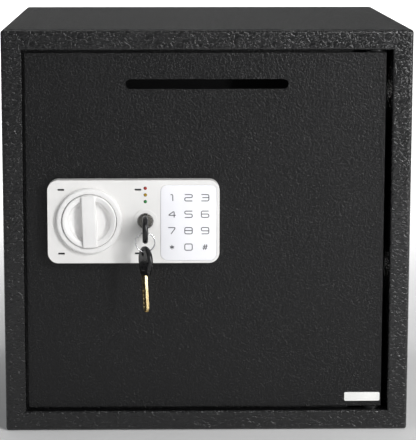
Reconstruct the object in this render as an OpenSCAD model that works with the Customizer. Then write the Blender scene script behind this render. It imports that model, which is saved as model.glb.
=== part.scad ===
// Time delay safe: a small steel cash safe with a deposit slot, a keypad lock and an override key.
// Millimetres. +Z is up, the front faces -Y, the origin is the centre of the base.

/* [Cabinet] */
// Outside width
cab_w = 350; // [340:1:420]
// Outside height
cab_h = 350; // [345:1:420]
// Outside depth
cab_d = 300; // [260:1:400]
// Thickness of the cabinet sheet
sheet = 2; // [1.5:0.1:3]
// Outside radius of the long bends
bend_r = 3.5; // [3.1:0.1:6]
// Width of the face round the door
border = 17.5; // [14:0.5:19]
// Depth of the jambs that turn in round the door
jamb_depth = 40; // [40:1:60]
// Thickness of the floor mat
mat_t = 2; // [1:0.5:4]
// Distance from the floor mat to the cabinet walls
mat_margin = 5; // [2:1:12]

/* [Anchor holes] */
// Diameter of the holes for floor and wall anchors
anchor_d = 10; // [8:0.5:14]
// Distance across the floor holes, left to right
floor_span_x = 220; // [160:1:260]
// Distance across the floor holes, front to back
floor_span_y = 160; // [120:1:200]
// Distance across the wall holes, left to right
wall_span_x = 220; // [160:1:260]
// Distance across the wall holes, up and down
wall_span_z = 180; // [120:1:220]

/* [Door] */
// Thickness of the door plate
door_t = 4; // [3:0.5:6]
// How far the door face lies behind the frame face
door_recess = 6; // [5:0.5:8]
// Gap above and below the door
gap_v = 2.5; // [2.3:0.1:3]
// Gap at the bolt side of the door
gap_bolt = 2.5; // [2:0.1:3]
// Gap at the hinge side of the door
gap_hinge = 5; // [4.8:0.1:7]
// How far the stop strips reach in past the edge of the opening
stop_reach = 5; // [4:0.1:5]
// Thickness of the stop strips
stop_t = 2; // [1.5:0.5:3]
// Gap between the closed door and its stop strips
stop_gap = 0.3; // [0.2:0.1:0.6]

/* [Hinge] */
// Diameter of the hinge pins
pin_d = 8; // [6:0.5:9]
// Distance from the pins to the hinge edge of the door
hinge_inset = 8; // [7.5:0.5:9]
// Distance from the pins to the back of the door plate
hinge_back = 5; // [5:0.1:5.5]
// Height of the hinge blocks
block_h = 22; // [16:1:30]
// Depth of the hinge blocks
block_deep = 13; // [12:0.5:16]
// Wall of the hinge bushes
bush_wall = 2; // [1.5:0.5:3]
// Rise of the hinge bush collars
collar_t = 1.7; // [1:0.1:1.7]
// Play between a hinge pin and its bush, on the radius
pin_play = 0.05; // [0.02:0.01:0.1]
// Play between a hinge block and its bush, end to end
end_play = 0.3; // [0.2:0.1:0.5]

/* [Deposit slot] */
// Length of the slot
slot_w = 139; // [100:1:160]
// Height of the slot
slot_h = 8.4; // [6:0.2:14]
// Distance from the top of the door to the middle of the slot
slot_drop = 26.8; // [22:0.2:30]
// Length of the chute beyond each end of the slot
chute_side = 8; // [5:1:15]
// Height of the chute
chute_h = 50; // [40:1:52]
// Depth of the chute
chute_deep = 56; // [50:1:70]
// Thickness of the chute sheet
chute_t = 1.5; // [1:0.5:2]
// Number of teeth on the baffle in the chute
tooth_count = 14; // [8:1:18]

/* [Lock panel] */
// Width of the panel
panel_w = 147; // [144:1:170]
// Height of the panel
panel_h = 72; // [72:1:90]
// Thickness of the panel
panel_t = 10; // [9:0.5:12]
// Corner radius of the panel
panel_r = 9; // [6:0.5:14]
// Wall of the panel housing
panel_wall = 2.5; // [2:0.5:3]
// Distance from the bolt edge of the door to the panel
panel_in = 18.5; // [17:0.5:22]
// Height of the middle of the panel above the bottom of the door
panel_up = 166; // [160:1:175]
// Diameter of the screws that hold the panel
panel_screw_d = 4; // [3:0.5:4]
// Length of the small windows in the panel face
window_w = 5.6; // [4:0.1:7]
// Height of the small windows in the panel face
window_h = 1.7; // [1:0.1:2]

/* [Knob] */
// Diameter of the knob
knob_d = 46.4; // [40:0.2:48]
// Distance from the end of the panel to the middle of the knob
knob_in = 35.7; // [34:0.1:37]
// Play between the knob and its bezel, on the radius
knob_play = 0.4; // [0.3:0.05:0.6]
// Width of the bezel ring
bezel_w = 4.8; // [3:0.1:5]
// How far the bezel stands out of the panel
bezel_out = 4; // [2:0.5:5]
// How far the knob rim stands out of the panel
rim_out = 5.5; // [4:0.5:7]
// How far the grip bar stands out of the panel
grip_out = 7; // [6:0.5:9]
// Width of the grip bar
grip_w = 12; // [9:0.5:14]
// Diameter of the knob spindle
spindle_d = 8; // [6:0.5:9]
// Turn of the knob from open to locked
knob_turn = 80; // [60:1:90]

/* [Keypad and lights] */
// Width of the keypad overlay
pad_w = 48; // [44:1:50]
// Height of the keypad overlay
pad_h = 65.5; // [60:0.5:66]
// Corner radius of the keypad overlay
pad_r = 6; // [3:0.5:8]
// Thickness of the keypad overlay
pad_t = 0.8; // [0.5:0.1:1]
// Distance from the end of the panel to the middle of the keypad
pad_in = 120.5; // [119:0.1:120.8]
// Distance between keys, left to right
key_pitch_x = 14.2; // [12:0.1:14.5]
// Distance between keys, up and down
key_pitch_z = 14.3; // [13:0.1:15]
// Diameter of the indicator lights
led_d = 3; // [2:0.5:4]
// Distance between the indicator lights
led_pitch = 5.8; // [5:0.1:6.5]
// Height of the middle light above the middle of the panel
led_up = 23.3; // [22:0.1:25]

/* [Override lock] */
// Diameter of the lock cylinder
cyl_d = 14; // [13.4:0.1:15]
// Distance from the end of the panel to the lock cylinder
cyl_in = 83.6; // [82:0.1:84]
// Diameter of the turning plug
plug_d = 11; // [10.6:0.1:11.6]
// Play between the plug and the cylinder, on the radius
plug_play = 0.05; // [0.03:0.01:0.1]
// Turn of the key
key_turn = 90; // [90:1:90]
// Rise of the blocking plunger as the key turns
plunger_rise = 6; // [4:0.5:7]

/* [Keys] */
// Width of a key bow
bow_w = 24; // [20:0.5:26]
// Length of a key bow
bow_len = 25; // [23:0.5:28]
// How far a bow hangs below the middle of its blade
bow_drop = 4.8; // [0:0.1:5.2]
// Thickness of a key bow
bow_t = 4.8; // [3.5:0.1:5]
// Diameter of the eye in a key bow
eye_d = 5; // [4:0.5:6]
// Width of a key blade
blade_w = 8; // [7:0.1:8.2]
// Thickness of a key blade
blade_t = 2.3; // [1.8:0.1:2.4]
// Length of a key blade
blade_len = 31; // [26:0.5:32]
// Outside diameter of the key ring
ring_d = 17.6; // [15:0.2:19]
// Diameter of the key ring wire
wire_d = 1.2; // [1:0.1:1.4]
// Turn of the hanging key away from facing sideways
spare_turn = 23; // [0:1:30]
// Lean of the hanging key that brings its weight under the ring
spare_tilt = 7.5; // [0:0.5:10]

/* [Bolt work] */
// Diameter of the bolts
bolt_d = 16; // [14:0.5:16]
// Travel of the bolts
bolt_throw = 16; // [12:0.5:16]
// Distance from the middle of the panel to each bolt
bolt_span = 55; // [52:1:57]
// Play of a bolt in its guide, on the radius
bolt_play = 0.1; // [0.05:0.01:0.1]
// Depth of the bolt guide behind the door plate
guide_deep = 36; // [34:0.5:36]
// Thickness of the bolt guide
guide_t = 3; // [2:0.5:3]
// Thickness of the bolt carrier
carrier_t = 3; // [2:0.5:3]
// Width of the bolt carrier
carrier_w = 50; // [46:1:54]
// Diameter of the carrier guide posts
post_d = 8; // [7:0.5:9]
// Thickness of the drive cam
cam_t = 4; // [3:0.5:4]
// Diameter of the drive cam pin
cam_pin_d = 6; // [5:0.5:7]
// Play of the drive cam pin in its slot, on each side
cam_play = 0.45; // [0.4:0.05:0.6]

/* [Inner cover and power] */
// Height of the inner cover above and below the panel middle
cover_half_h = 82; // [80:1:83]
// Thickness of the inner cover
cover_t = 1.2; // [1:0.1:1.5]
// Width of the inner cover flange
cover_flange = 12; // [10:1:14]
// Distance from the middle of the door to the edge of the inner cover
cover_right = 82; // [80:1:95]
// Diameter of a battery cell
cell_d = 14.5; // [14:0.1:15]
// Length of a battery cell
cell_len = 50.5; // [49:0.1:51]
// Number of battery cells
cell_count = 4; // [2:1:4]
// Travel of the reset button
button_travel = 1.5; // [1:0.1:2]
// Diameter of the reset button
button_d = 7; // [5:0.5:8]

/* [Hidden] */
$fn = 64;

// Front to back places
front = -cab_d / 2;
back = cab_d / 2;
door_front = front + door_recess;
door_back = door_front + door_t;
panel_face = door_front - panel_t;
stop_front = door_back + stop_gap;
jamb_back = front + jamb_depth;

// Opening and door edges
open_x = cab_w / 2 - border;
open_lo = border;
open_hi = cab_h - border;
door_x0 = -open_x + gap_bolt;
door_x1 = open_x - gap_hinge;
door_z0 = open_lo + gap_v;
door_z1 = open_hi - gap_v;

// Hinge line
hinge_x = door_x1 - hinge_inset;
hinge_y = door_back + hinge_back;
bush_r = pin_d / 2 + bush_wall;
collar_r = bush_r + 2;
bush_sleeve = sheet + 2.5;
pin_through = 6.5;
block_top = open_hi - collar_t - end_play;
block_bottom = open_lo + collar_t + end_play;

// Deposit slot and chute
slot_z = door_z1 - slot_drop;
chute_x = slot_w / 2 + chute_side;
chute_z1 = slot_z + slot_h / 2 + 14.6;
chute_z0 = chute_z1 - chute_h;
tooth_deep = 8;
outlet = 20;
ramp_rise = 18;
chute_lip = 8;

// Lock panel
panel_x0 = door_x0 + panel_in;
panel_x = panel_x0 + panel_w / 2;
panel_z = door_z0 + panel_up;
boss_r = panel_screw_d / 2 + 1.6;
boss_x = panel_w / 2 - boss_r - panel_wall - 0.6;
boss_z = panel_h / 2 - boss_r - panel_wall - 0.6;
screw_head = 2.4;
window_x = [panel_x0 + 11.6, panel_x0 + 77.3];
window_z = [panel_z - 27.6, panel_z + 27.8];
window_deep = 2;
bolt_z = [panel_z - bolt_span, panel_z + bolt_span];

// Knob and its drive
knob_x = panel_x0 + knob_in;
knob_z = panel_z + 1;
knob_r = knob_d / 2;
bezel_in = knob_r + knob_play;
bezel_lip = 1.6;
knob_wall = 2.5;
dish_y = panel_face + 0.5;
knob_back = dish_y + knob_wall;
band_w = 4.8;
band_fall = 1.2;
cove_w = 4;
grip_tilt = 1.8;
spindle_r = spindle_d / 2;
spindle_bush_r = spindle_r + 2;
cam_gap = 2;
carrier_y1 = door_back + guide_deep - 11;
carrier_y0 = carrier_y1 - carrier_t;
cam_y1 = carrier_y0 - cam_gap;
cam_y0 = cam_y1 - cam_t;
throw_r = bolt_throw / (2 * sin(knob_turn / 2));
cam_pin_x = knob_x + throw_r * sin(knob_turn / 2);
cam_pin_z = knob_z + throw_r * cos(knob_turn / 2);
cam_r = throw_r + cam_pin_d / 2 + 1.5;

// Bolts, seen from the hinge side of the bolt guide
bolt_r = bolt_d / 2;
bolt_y = door_back + 6 + bolt_r;
guide_x0 = door_x0 + 5;
guide_x1 = guide_x0 + guide_t;
guide_foot = panel_x - boss_x - panel_screw_d - 1.5 - guide_x1;
bolt_tip = guide_x0 - 1;
tab_x0 = guide_x1 + bolt_throw + 26;
tab_x1 = tab_x0 + carrier_t;
tail_r = 4;
nut_t = 4;
carrier_x0 = tab_x0 - 20;
carrier_x1 = carrier_x0 + carrier_w;
post_x = carrier_x1 - bolt_throw - post_d / 2 - 6;
post_z = [bolt_z[0] + 22, bolt_z[1] - 22];
post_play = 0.08;
post_thread = 8;

// Override lock and blocking plunger
cyl_x = panel_x0 + cyl_in;
cyl_z = panel_z + 0.7;
cyl_r = cyl_d / 2;
plug_r = plug_d / 2;
cyl_front = panel_face - 1;
cyl_back = door_back + 17;
keyway_w = blade_w + 0.3;
keyway_t = blade_t + 0.2;
snail_lo = 6.5;
snail_hi = snail_lo + plunger_rise;
snail_y0 = cyl_back + 0.3;
snail_t = 2.5;
lift_pin_r = 1.5;
plunger_r = 3;
plunger_y = (carrier_y0 + carrier_y1) / 2;
lift_pin_z = cyl_z - snail_hi - 2 - lift_pin_r;
arm_z0 = lift_pin_z + 22.5;
arm_h = 18;
plunger_top = arm_z0 - 0.5;
notch_r = plunger_r + 0.5;
coil_z1 = lift_pin_z - 7;
coil_h = 26;
frame_t = 2;
coil_r = 10;

// Keys: the inserted key's eye hangs below the lock axis
eye_out = 5.5;
eye_y = cyl_front - 0.6 - (bow_len - eye_out);
ring_r = (ring_d - wire_d) / 2;
wire_r = wire_d / 2;
ring_sag = ring_r - sqrt(ring_r * ring_r - pow(bow_t / 2 / cos(spare_turn), 2));
eye_drift = bow_t / 2 * tan(spare_turn) + wire_r;
eye_rise = eye_d / 2 - sqrt(pow(eye_d / 2, 2) - pow(eye_drift, 2));
wire_gap = 0.1;
ring_top = cyl_z - bow_drop - eye_d / 2 + wire_r + wire_gap + ring_sag;
ring_z = ring_top - ring_r;
spare_z = ring_z - ring_r + wire_r + wire_gap + ring_sag + eye_rise - eye_d / 2;

// Inner cover, power and electronics
cover_z0 = panel_z - cover_half_h;
cover_z1 = panel_z + cover_half_h;
cover_y = door_back + guide_deep - cover_t;
cell_wall = 1.5;
cell_room = 0.3;
box_in_w = cell_count * (cell_d + cell_room) + cell_room;
box_in_h = cell_len + 5;
box_y1 = cover_y;
box_y0 = box_y1 - cell_d - 2 * cell_room - cell_wall;
box_x1 = cover_right - cover_flange - 12;
box_x0 = box_x1 - box_in_w - 2 * cell_wall;
box_z0 = cover_z0 + cover_flange + cover_t + 6;
box_z1 = box_z0 + box_in_h + 2 * cell_wall;
lid_t = 1.8;
lid_play = 0.3;
lid_lap = 4;
lid_z0 = box_z0 - lid_lap;
lid_z1 = box_z1 + lid_lap;
rail_t = 1.4;
cell_y = box_y0 + cell_wall + cell_room + cell_d / 2;
board_w = 88;
board_h = 66;
board_t = 1.6;
board_x0 = box_x1 - board_w + 6;
board_z0 = cover_z1 - cover_flange - cover_t - board_h - 3;
board_y0 = door_back + 12;
chip = [18, 3, 10];
relay = [20, 11, 16];
buzzer_r = 6;
standoff_in = 4;
button_x = board_x0 + 24;
button_z = board_z0 + 40;
pad_x = panel_x0 + pad_in;
pad_z = panel_z - 1;
cable_x = pad_x + 6;
cable_z = panel_z + 16;
cable_r = 7;
ribbon_w = 9;
ribbon_t = 0.8;
pad_board_t = 1.6;
dome_r = 3;
pad_board_y0 = panel_face + panel_wall + 0.2;
sticker_w = 31;
sticker_h = 7.8;
stub = 0.01;

// A flat outline, drawn in x and z, given its depth from one y to another
module slab(y0, y1) {
    translate([0, y1, 0]) rotate([90, 0, 0]) linear_extrude(y1 - y0) children();
}

// A round bar from front to back
module rod_y(x, z, y0, y1, r) {
    translate([x, y1, z]) rotate([90, 0, 0]) cylinder(h = y1 - y0, r = r);
}

// A round bar from left to right
module rod_x(y, z, x0, x1, r) {
    translate([x0, y, z]) rotate([0, 90, 0]) cylinder(h = x1 - x0, r = r);
}

// A block between two corners
module block(lo, hi) {
    translate(lo) cube(hi - lo);
}

// A rectangle centred on x, z with round corners
module round_rect(x, z, w, h, r) {
    translate([x, z]) {
        square([w - 2 * r, h], center = true);
        square([w, h - 2 * r], center = true);
        for (i = [-1, 1], j = [-1, 1])
            translate([i * (w / 2 - r), j * (h / 2 - r)]) circle(r);
    }
}

// A rectangle in x and z between two corners
module rect(x0, z0, x1, z1) {
    translate([x0, z0]) square([x1 - x0, z1 - z0]);
}

// A turned shape whose axis runs front to back; the profile is radius, height towards the front
module turned(x, z, y_base) {
    translate([x, y_base, z]) rotate([90, 0, 0]) rotate_extrude() children();
}

// A pan head screw: head in front of or behind a seat, with a cross slot in the head
module back_screw(x, z, seat, shank_end, r, head_r, head_h) {
    difference() {
        union() {
            rod_y(x, z, shank_end, seat + stub, r);
            rod_y(x, z, seat, seat + head_h, head_r);
        }
        block([x - head_r * 0.6, seat + head_h * 0.45, z - 0.4], [x + head_r * 0.6, seat + head_h + 1,
            z + 0.4]);
        block([x - 0.4, seat + head_h * 0.45, z - head_r * 0.6], [x + 0.4, seat + head_h + 1,
            z + head_r * 0.6]);
    }
}

// Top, sides and floor, bent from one sheet
module cabinet_wrap() {
    color("#2e2e2e") difference() {
        slab(front + bend_r, back) difference() {
            round_rect(0, cab_h / 2, cab_w, cab_h, bend_r);
            rect(-cab_w / 2 + sheet, sheet, cab_w / 2 - sheet, cab_h - sheet);
        }
        for (i = [-1, 1], j = [-1, 1])
            translate([i * floor_span_x / 2, j * floor_span_y / 2, -1])
                cylinder(h = sheet + 2, d = anchor_d);
    }
}

// Plate welded inside the rear edge of the wrap
module back_panel() {
    color("#2e2e2e") difference() {
        slab(back - sheet, back)
            rect(-cab_w / 2 + sheet, sheet, cab_w / 2 - sheet, cab_h - sheet);
        for (i = [-1, 1], j = [-1, 1])
            rod_y(i * wall_span_x / 2, cab_h / 2 + j * wall_span_z / 2, back - sheet - 1, back + 1,
                anchor_d / 2);
    }
}

// Front of the cabinet as a solid block, with round edges where the face bends into the sides
module bent_front() {
    intersection() {
        slab(front, front + bend_r) round_rect(0, cab_h / 2, cab_w, cab_h, bend_r);
        linear_extrude(cab_h) round_rect(0, 0, cab_w, cab_d, bend_r);
        translate([-cab_w / 2, 0, 0]) rotate([90, 0, 90]) linear_extrude(cab_w)
            round_rect(0, cab_h / 2, cab_d, cab_h, bend_r);
    }
}

// Face round the door, bent back at its outer edge, with the jambs turned in behind it
module front_frame() {
    color("#333333") difference() {
        union() {
            difference() {
                bent_front();
                slab(front + sheet, front + bend_r + 1)
                    rect(-cab_w / 2 + sheet, sheet, cab_w / 2 - sheet, cab_h - sheet);
            }
            slab(front, jamb_back)
                rect(-open_x - sheet, open_lo - sheet, open_x + sheet, open_hi + sheet);
        }
        slab(front - 1, jamb_back + 1) rect(-open_x, open_lo, open_x, open_hi);
        for (z = bolt_z) rod_x(bolt_y, z, -open_x - sheet - 1, -open_x + 1, bolt_r + 1);
        translate([hinge_x, hinge_y, open_lo - sheet - 1]) cylinder(h = sheet + 2, r = bush_r);
        translate([hinge_x, hinge_y, open_hi - 1]) cylinder(h = sheet + 2, r = bush_r);
    }
}

// Strips in the opening that the door closes against
module door_stops() {
    color("#242424") slab(stop_front, stop_front + stop_t) {
        rect(-open_x, open_lo, -open_x + stop_reach, open_hi);
        rect(-open_x, open_lo, hinge_x - 20, open_lo + stop_reach);
        rect(-open_x, open_hi - stop_reach, hinge_x - 20, open_hi);
    }
}

// Flanged bush; its collar faces down for the upper jamb and up for the lower one
module hinge_bush(z_face, up) {
    translate([hinge_x, hinge_y, z_face]) mirror([0, 0, up ? 0 : 1]) difference() {
        union() {
            translate([0, 0, -bush_sleeve]) cylinder(h = bush_sleeve + stub, r = bush_r);
            cylinder(h = collar_t, r = collar_r);
        }
        translate([0, 0, -bush_sleeve - 1])
            cylinder(h = bush_sleeve + collar_t + 2, r = pin_d / 2 + pin_play);
    }
}

module upper_hinge_bush() {
    color("#1c1c1e") hinge_bush(open_hi, false);
}

module lower_hinge_bush() {
    color("#1c1c1e") hinge_bush(open_lo, true);
}

// Felt mat on the cabinet floor, with holes over the anchor holes
module floor_mat() {
    color("#3b3b3f") difference() {
        translate([-cab_w / 2 + sheet + mat_margin, jamb_back, sheet])
            cube([cab_w - 2 * sheet - 2 * mat_margin, back - sheet - mat_margin - jamb_back, mat_t]);
        for (i = [-1, 1], j = [-1, 1])
            translate([i * floor_span_x / 2, j * floor_span_y / 2, 0])
                cylinder(h = sheet + mat_t + 1, d = anchor_d + 2);
    }
}

// Steel door plate with the slot and every hole behind the lock panel
module door_plate() {
    color("#2b2b2b") difference() {
        slab(door_front, door_back) difference() {
            rect(door_x0, door_z0, door_x1, door_z1);
            round_rect(0, slot_z, slot_w, slot_h, slot_h / 2 - stub);
        }
        rod_y(knob_x, knob_z, door_front - 1, door_back + 1, spindle_bush_r);
        rod_y(cyl_x, cyl_z, door_front - 1, door_back + 1, cyl_r);
        rod_y(cable_x, cable_z, door_front - 1, door_back + 1, cable_r);
        for (i = [-1, 1], j = [-1, 1])
            rod_y(panel_x + i * boss_x, panel_z + j * boss_z, door_front - 1, door_back + 1,
                panel_screw_d / 2);
        for (p = cover_screw_places) rod_y(p[0], p[1], door_back - 3, door_back + 1, 2);
        for (z = post_z) rod_y(post_x, z, door_back - 2, door_back + 1, post_d / 2 - 1.5);
    }
}

// Block welded behind the door; it carries the hinge pin
module hinge_block(z0, z1) {
    difference() {
        block([hinge_x - hinge_inset, door_back, z0], [door_x1, door_back + block_deep, z1]);
        translate([hinge_x, hinge_y, z0 - 1]) cylinder(h = z1 - z0 + 2, d = pin_d);
    }
}

module upper_hinge_block() {
    color("#2b2b2b") hinge_block(block_top - block_h, block_top);
}

module lower_hinge_block() {
    color("#2b2b2b") hinge_block(block_bottom, block_bottom + block_h);
}

// Pin with a small lead-in at its free end
module hinge_pin(z0, z1, free_up) {
    lead = 0.8;
    translate([hinge_x, hinge_y, z0]) rotate_extrude() polygon([
        [0, 0], [pin_d / 2 - (free_up ? 0 : lead), 0], [pin_d / 2, free_up ? 0 : lead],
        [pin_d / 2, z1 - z0 - (free_up ? lead : 0)], [pin_d / 2 - (free_up ? lead : 0), z1 - z0], [0,
            z1 - z0]]);
}

module upper_hinge_pin() {
    color("silver") hinge_pin(block_top - block_h, open_hi + pin_through, true);
}

module lower_hinge_pin() {
    color("silver") hinge_pin(open_lo - pin_through, block_bottom + block_h, false);
}

// Angle that guides both bolts at the opening side
module bolt_guide() {
    color("#8d9094") difference() {
        union() {
            block([guide_x0, door_back, cover_z0], [guide_x1, door_back + guide_deep, cover_z1]);
            block([guide_x0, door_back, cover_z0], [guide_x1 + guide_foot, door_back + 2, cover_z1]);
        }
        for (z = bolt_z) rod_x(bolt_y, z, guide_x0 - 1, guide_x1 + 1, bolt_r + bolt_play);
    }
}

// Where the inner cover's screws stand
cover_screw_places = [
    for (x = [guide_x1 + 40, 0, cover_right - cover_flange / 2 - 14], j = [-1, 1])
        [x, panel_z + j * (cover_half_h - cover_flange / 2)]];

// Pan over the lock work; its open left edge meets the bolt guide
module inner_cover() {
    pan_x1 = cover_right - cover_flange;
    color("#1f1f21") difference() {
        union() {
            block([guide_x1, door_back, cover_z0 + cover_flange], [pan_x1, cover_y + cover_t,
                cover_z1 - cover_flange]);
            block([guide_x1 + guide_foot, door_back, cover_z0], [cover_right, door_back + cover_t,
                cover_z1]);
            rails();
        }
        block([guide_x1 - 1, door_back - 1, cover_z0 + cover_flange + cover_t],
            [pan_x1 - cover_t, cover_y, cover_z1 - cover_flange - cover_t]);
        block([guide_x1 - 1, door_back - 1, cover_z0 - 1], [guide_x1 + guide_foot, door_back + 2,
            cover_z1 + 1]);
        block([box_x0 + cell_wall, cover_y - 1, box_z0 + cell_wall],
            [box_x1 - cell_wall, cover_y + cover_t + 1, box_z1 - cell_wall]);
        rod_y(button_x, button_z, cover_y - 1, cover_y + cover_t + 1, button_d / 2 + 0.5);
        for (p = cover_screw_places) rod_y(p[0], p[1], door_back - 1, door_back + cover_t + 1, 2);
    }
}

// Two rails behind the cover that hold the sliding battery lid
module rails() {
    y0 = cover_y + cover_t;
    y1 = y0 + lid_t + 2 * lid_play;
    for (low = [0, 1]) {
        edge = low == 1 ? lid_z0 - lid_play - rail_t : lid_z1 + lid_play;
        lip = low == 1 ? edge : edge - rail_t;
        block([box_x0, y0 - stub, edge], [box_x1, y1 + stub, edge + rail_t]);
        block([box_x0, y1, lip], [box_x1, y1 + rail_t, lip + 2 * rail_t]);
    }
}

module cover_screws() {
    color("silver") for (p = cover_screw_places)
        back_screw(p[0], p[1], door_back + cover_t, door_back - 3, 2, 3.6, 2.2);
}

// Hood behind the slot; its ramp leads deposits back over the lock work to an outlet in its floor
module deposit_chute() {
    y1 = door_back + chute_deep;
    ramp_y = y1 - outlet;
    color("#232325") {
        difference() {
            block([-chute_x, door_back, chute_z0], [chute_x, y1, chute_z1]);
            block([-chute_x + chute_t, door_back - 1, chute_z0 - 1],
                [chute_x - chute_t, y1 - chute_t, chute_z1 - chute_t]);
        }
        translate([-chute_x, 0, 0]) rotate([90, 0, 90]) linear_extrude(2 * chute_x) polygon([
            [door_back, chute_z0 + ramp_rise], [ramp_y, chute_z0],
            [ramp_y, chute_z0 + chute_t], [door_back, chute_z0 + ramp_rise + chute_t]]);
        for (i = [-1, 1])
            translate([i * (chute_x + chute_lip / 2), door_back + chute_t / 2, (chute_z0 + chute_z1) / 2])
                cube([chute_lip + stub, chute_t, chute_h - 16], center = true);
    }
}

// Shelf in the chute with teeth along its free edge, against fishing
module chute_baffle() {
    width = 2 * (chute_x - chute_t);
    pitch = width / tooth_count;
    y1 = door_back + chute_deep - chute_t;
    shelf = 9;
    z = chute_z0 + 12;
    color("#8d9094") {
        block([-width / 2, y1 - shelf, z], [width / 2, y1, z + chute_t]);
        for (i = [0 : tooth_count - 1])
            translate([-width / 2 + pitch * (i + 0.5), y1 - shelf + stub, z]) linear_extrude(chute_t)
                polygon([[-pitch * 0.36, 0], [pitch * 0.36, 0], [1, -tooth_deep], [-1, -tooth_deep]]);
    }
}

// White moulded panel, hollow behind, with the knob well, keypad seat and light holes
module lock_housing() {
    color("#eeeeec") difference() {
        union() {
            slab(panel_face, door_front) difference() {
                round_rect(panel_x, panel_z, panel_w, panel_h, panel_r);
                round_rect(panel_x, panel_z, panel_w - 2 * panel_wall, panel_h - 2 * panel_wall,
                    panel_r - panel_wall);
            }
            slab(panel_face, panel_face + panel_wall)
                round_rect(panel_x, panel_z, panel_w, panel_h, panel_r);
            for (i = [-1, 1], j = [-1, 1])
                rod_y(panel_x + i * boss_x, panel_z + j * boss_z, panel_face + 1, door_front, boss_r);
            rod_y(cyl_x, cyl_z, panel_face - 0.8, panel_face + 1, cyl_r + 3);
            rod_y(cyl_x, cyl_z, panel_face + 1, door_front, cyl_r + 1.6);
        }
        rod_y(knob_x, knob_z, panel_face - 1, door_front + 1, bezel_in + bezel_lip);
        rod_y(cyl_x, cyl_z, panel_face - 2, door_front + 1, cyl_r);
        slab(panel_face - 1, panel_face + pad_t)
            round_rect(pad_x, pad_z, pad_w + 0.4, pad_h + 0.4, pad_r + 0.2);
        key_places() rod_y(0, 0, panel_face, panel_face + panel_wall + 1, dome_r + 0.4);
        for (k = [-1 : 1]) rod_y(cyl_x, panel_z + led_up + k * led_pitch, panel_face - 1,
            panel_face + 4, led_d / 2);
        for (x = window_x, z = window_z)
            block([x - window_w / 2, panel_face - 1, z - window_h / 2],
                [x + window_w / 2, panel_face + window_deep, z + window_h / 2]);
        for (i = [-1, 1], j = [-1, 1])
            rod_y(panel_x + i * boss_x, panel_z + j * boss_z, panel_face + 2.5, door_front + 1,
                panel_screw_d / 2 - 0.4);
    }
}

// Screws through the door plate into the panel's bosses
module housing_screws() {
    color("silver") for (i = [-1, 1], j = [-1, 1]) {
        x = panel_x + i * boss_x;
        z = panel_z + j * boss_z;
        back_screw(x, z, door_back, door_front, panel_screw_d / 2, panel_screw_d * 0.9, screw_head);
        rod_y(x, z, panel_face + 3, door_front + stub, panel_screw_d / 2 - 0.4);
    }
}

// Fixed ring round the knob; its sleeve lines the hole in the panel
module knob_bezel() {
    back_h = knob_back - 1 - panel_face;
    color("#f2f2f0") turned(knob_x, knob_z, panel_face) polygon([
        [bezel_in, -back_h], [bezel_in + bezel_lip, -back_h], [bezel_in + bezel_lip, 0],
        [bezel_in + bezel_w, 0], [bezel_in + bezel_w, bezel_out - 2.6],
        [bezel_in + bezel_w - 0.5, bezel_out - 1.4], [bezel_in + bezel_w - 1.6, bezel_out - 0.4],
        [bezel_in + bezel_w - 2.8, bezel_out], [bezel_in + 0.5, bezel_out], [bezel_in, bezel_out - 0.5]]);
}

// Flanged bush in the door plate for the spindle
module spindle_bush() {
    color("#b08d4a") difference() {
        union() {
            rod_y(knob_x, knob_z, door_front, door_back + stub, spindle_bush_r);
            rod_y(knob_x, knob_z, door_back, door_back + 2, spindle_bush_r + 2);
        }
        rod_y(knob_x, knob_z, door_front - 1, door_back + 3, spindle_r + 0.05);
    }
}

// Flat glossy overlay, seated flush in the panel
module keypad_overlay() {
    color("#e9e9ee") slab(panel_face + stub, panel_face + pad_t)
        round_rect(pad_x, pad_z, pad_w, pad_h, pad_r);
}

// Repeats its children at every key of the keypad
module key_places() {
    for (c = [-1 : 1], r = [0 : 3])
        translate([pad_x + c * key_pitch_x, 0, pad_z + (1.5 - r) * key_pitch_z + 0.3]) children();
}

// Board behind the panel face with a push dome under every key
module keypad_board() {
    color("#2f6b3a") {
        slab(pad_board_y0, pad_board_y0 + pad_board_t)
            rect(pad_x - 22, pad_z - 24.5, pad_x + 22, panel_z + 25);
        key_places() rod_y(0, 0, panel_face + pad_t + 0.05, pad_board_y0 + stub, dome_r);
    }
}

// Flat ribbon from the keypad board, through the door, to the control board
module keypad_ribbon() {
    y0 = pad_board_y0 + pad_board_t;
    color("#c9c9c9")
        block([cable_x - ribbon_w / 2, y0, cable_z - 2.6], [cable_x + ribbon_w / 2, board_y0,
            cable_z - 2.6 + ribbon_t]);
}

// One light: a domed lens in its hole with a collar behind the panel wall
module light(k) {
    rim = panel_face + panel_wall;
    r = led_d / 2;
    turned(cyl_x, panel_z + led_up + k * led_pitch, rim + 4) polygon([
        [0, 0], [r + 0.5, 0], [r + 0.5, 4], [r, 4], [r, 4 + panel_wall - 0.2],
        for (a = [0 : 15 : 90]) [r * cos(a), 4 + panel_wall - 0.2 + 0.7 * sin(a)]]);
}

module red_light() {
    color("#d03028") light(1);
}

module amber_light() {
    color("#c8a020") light(0);
}

module green_light() {
    color("#2f9c45") light(-1);
}

// Cylinder through panel and door, bored for the plug, with a thin lip at the face
module lock_cylinder() {
    color("#b9b9bb") difference() {
        rod_y(cyl_x, cyl_z, cyl_front, cyl_back, cyl_r);
        rod_y(cyl_x, cyl_z, cyl_front - 1, cyl_back + 1, plug_r + plug_play);
    }
}

// Hexagonal nut behind the door plate
module cylinder_nut() {
    color("#c8c8ca") difference() {
        translate([cyl_x, door_back + 4, cyl_z]) rotate([90, 0, 0])
            cylinder(h = 4, r = cyl_r + 4.5, $fn = 6);
        rod_y(cyl_x, cyl_z, door_back - 1, door_back + 5, cyl_r);
    }
}

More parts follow.
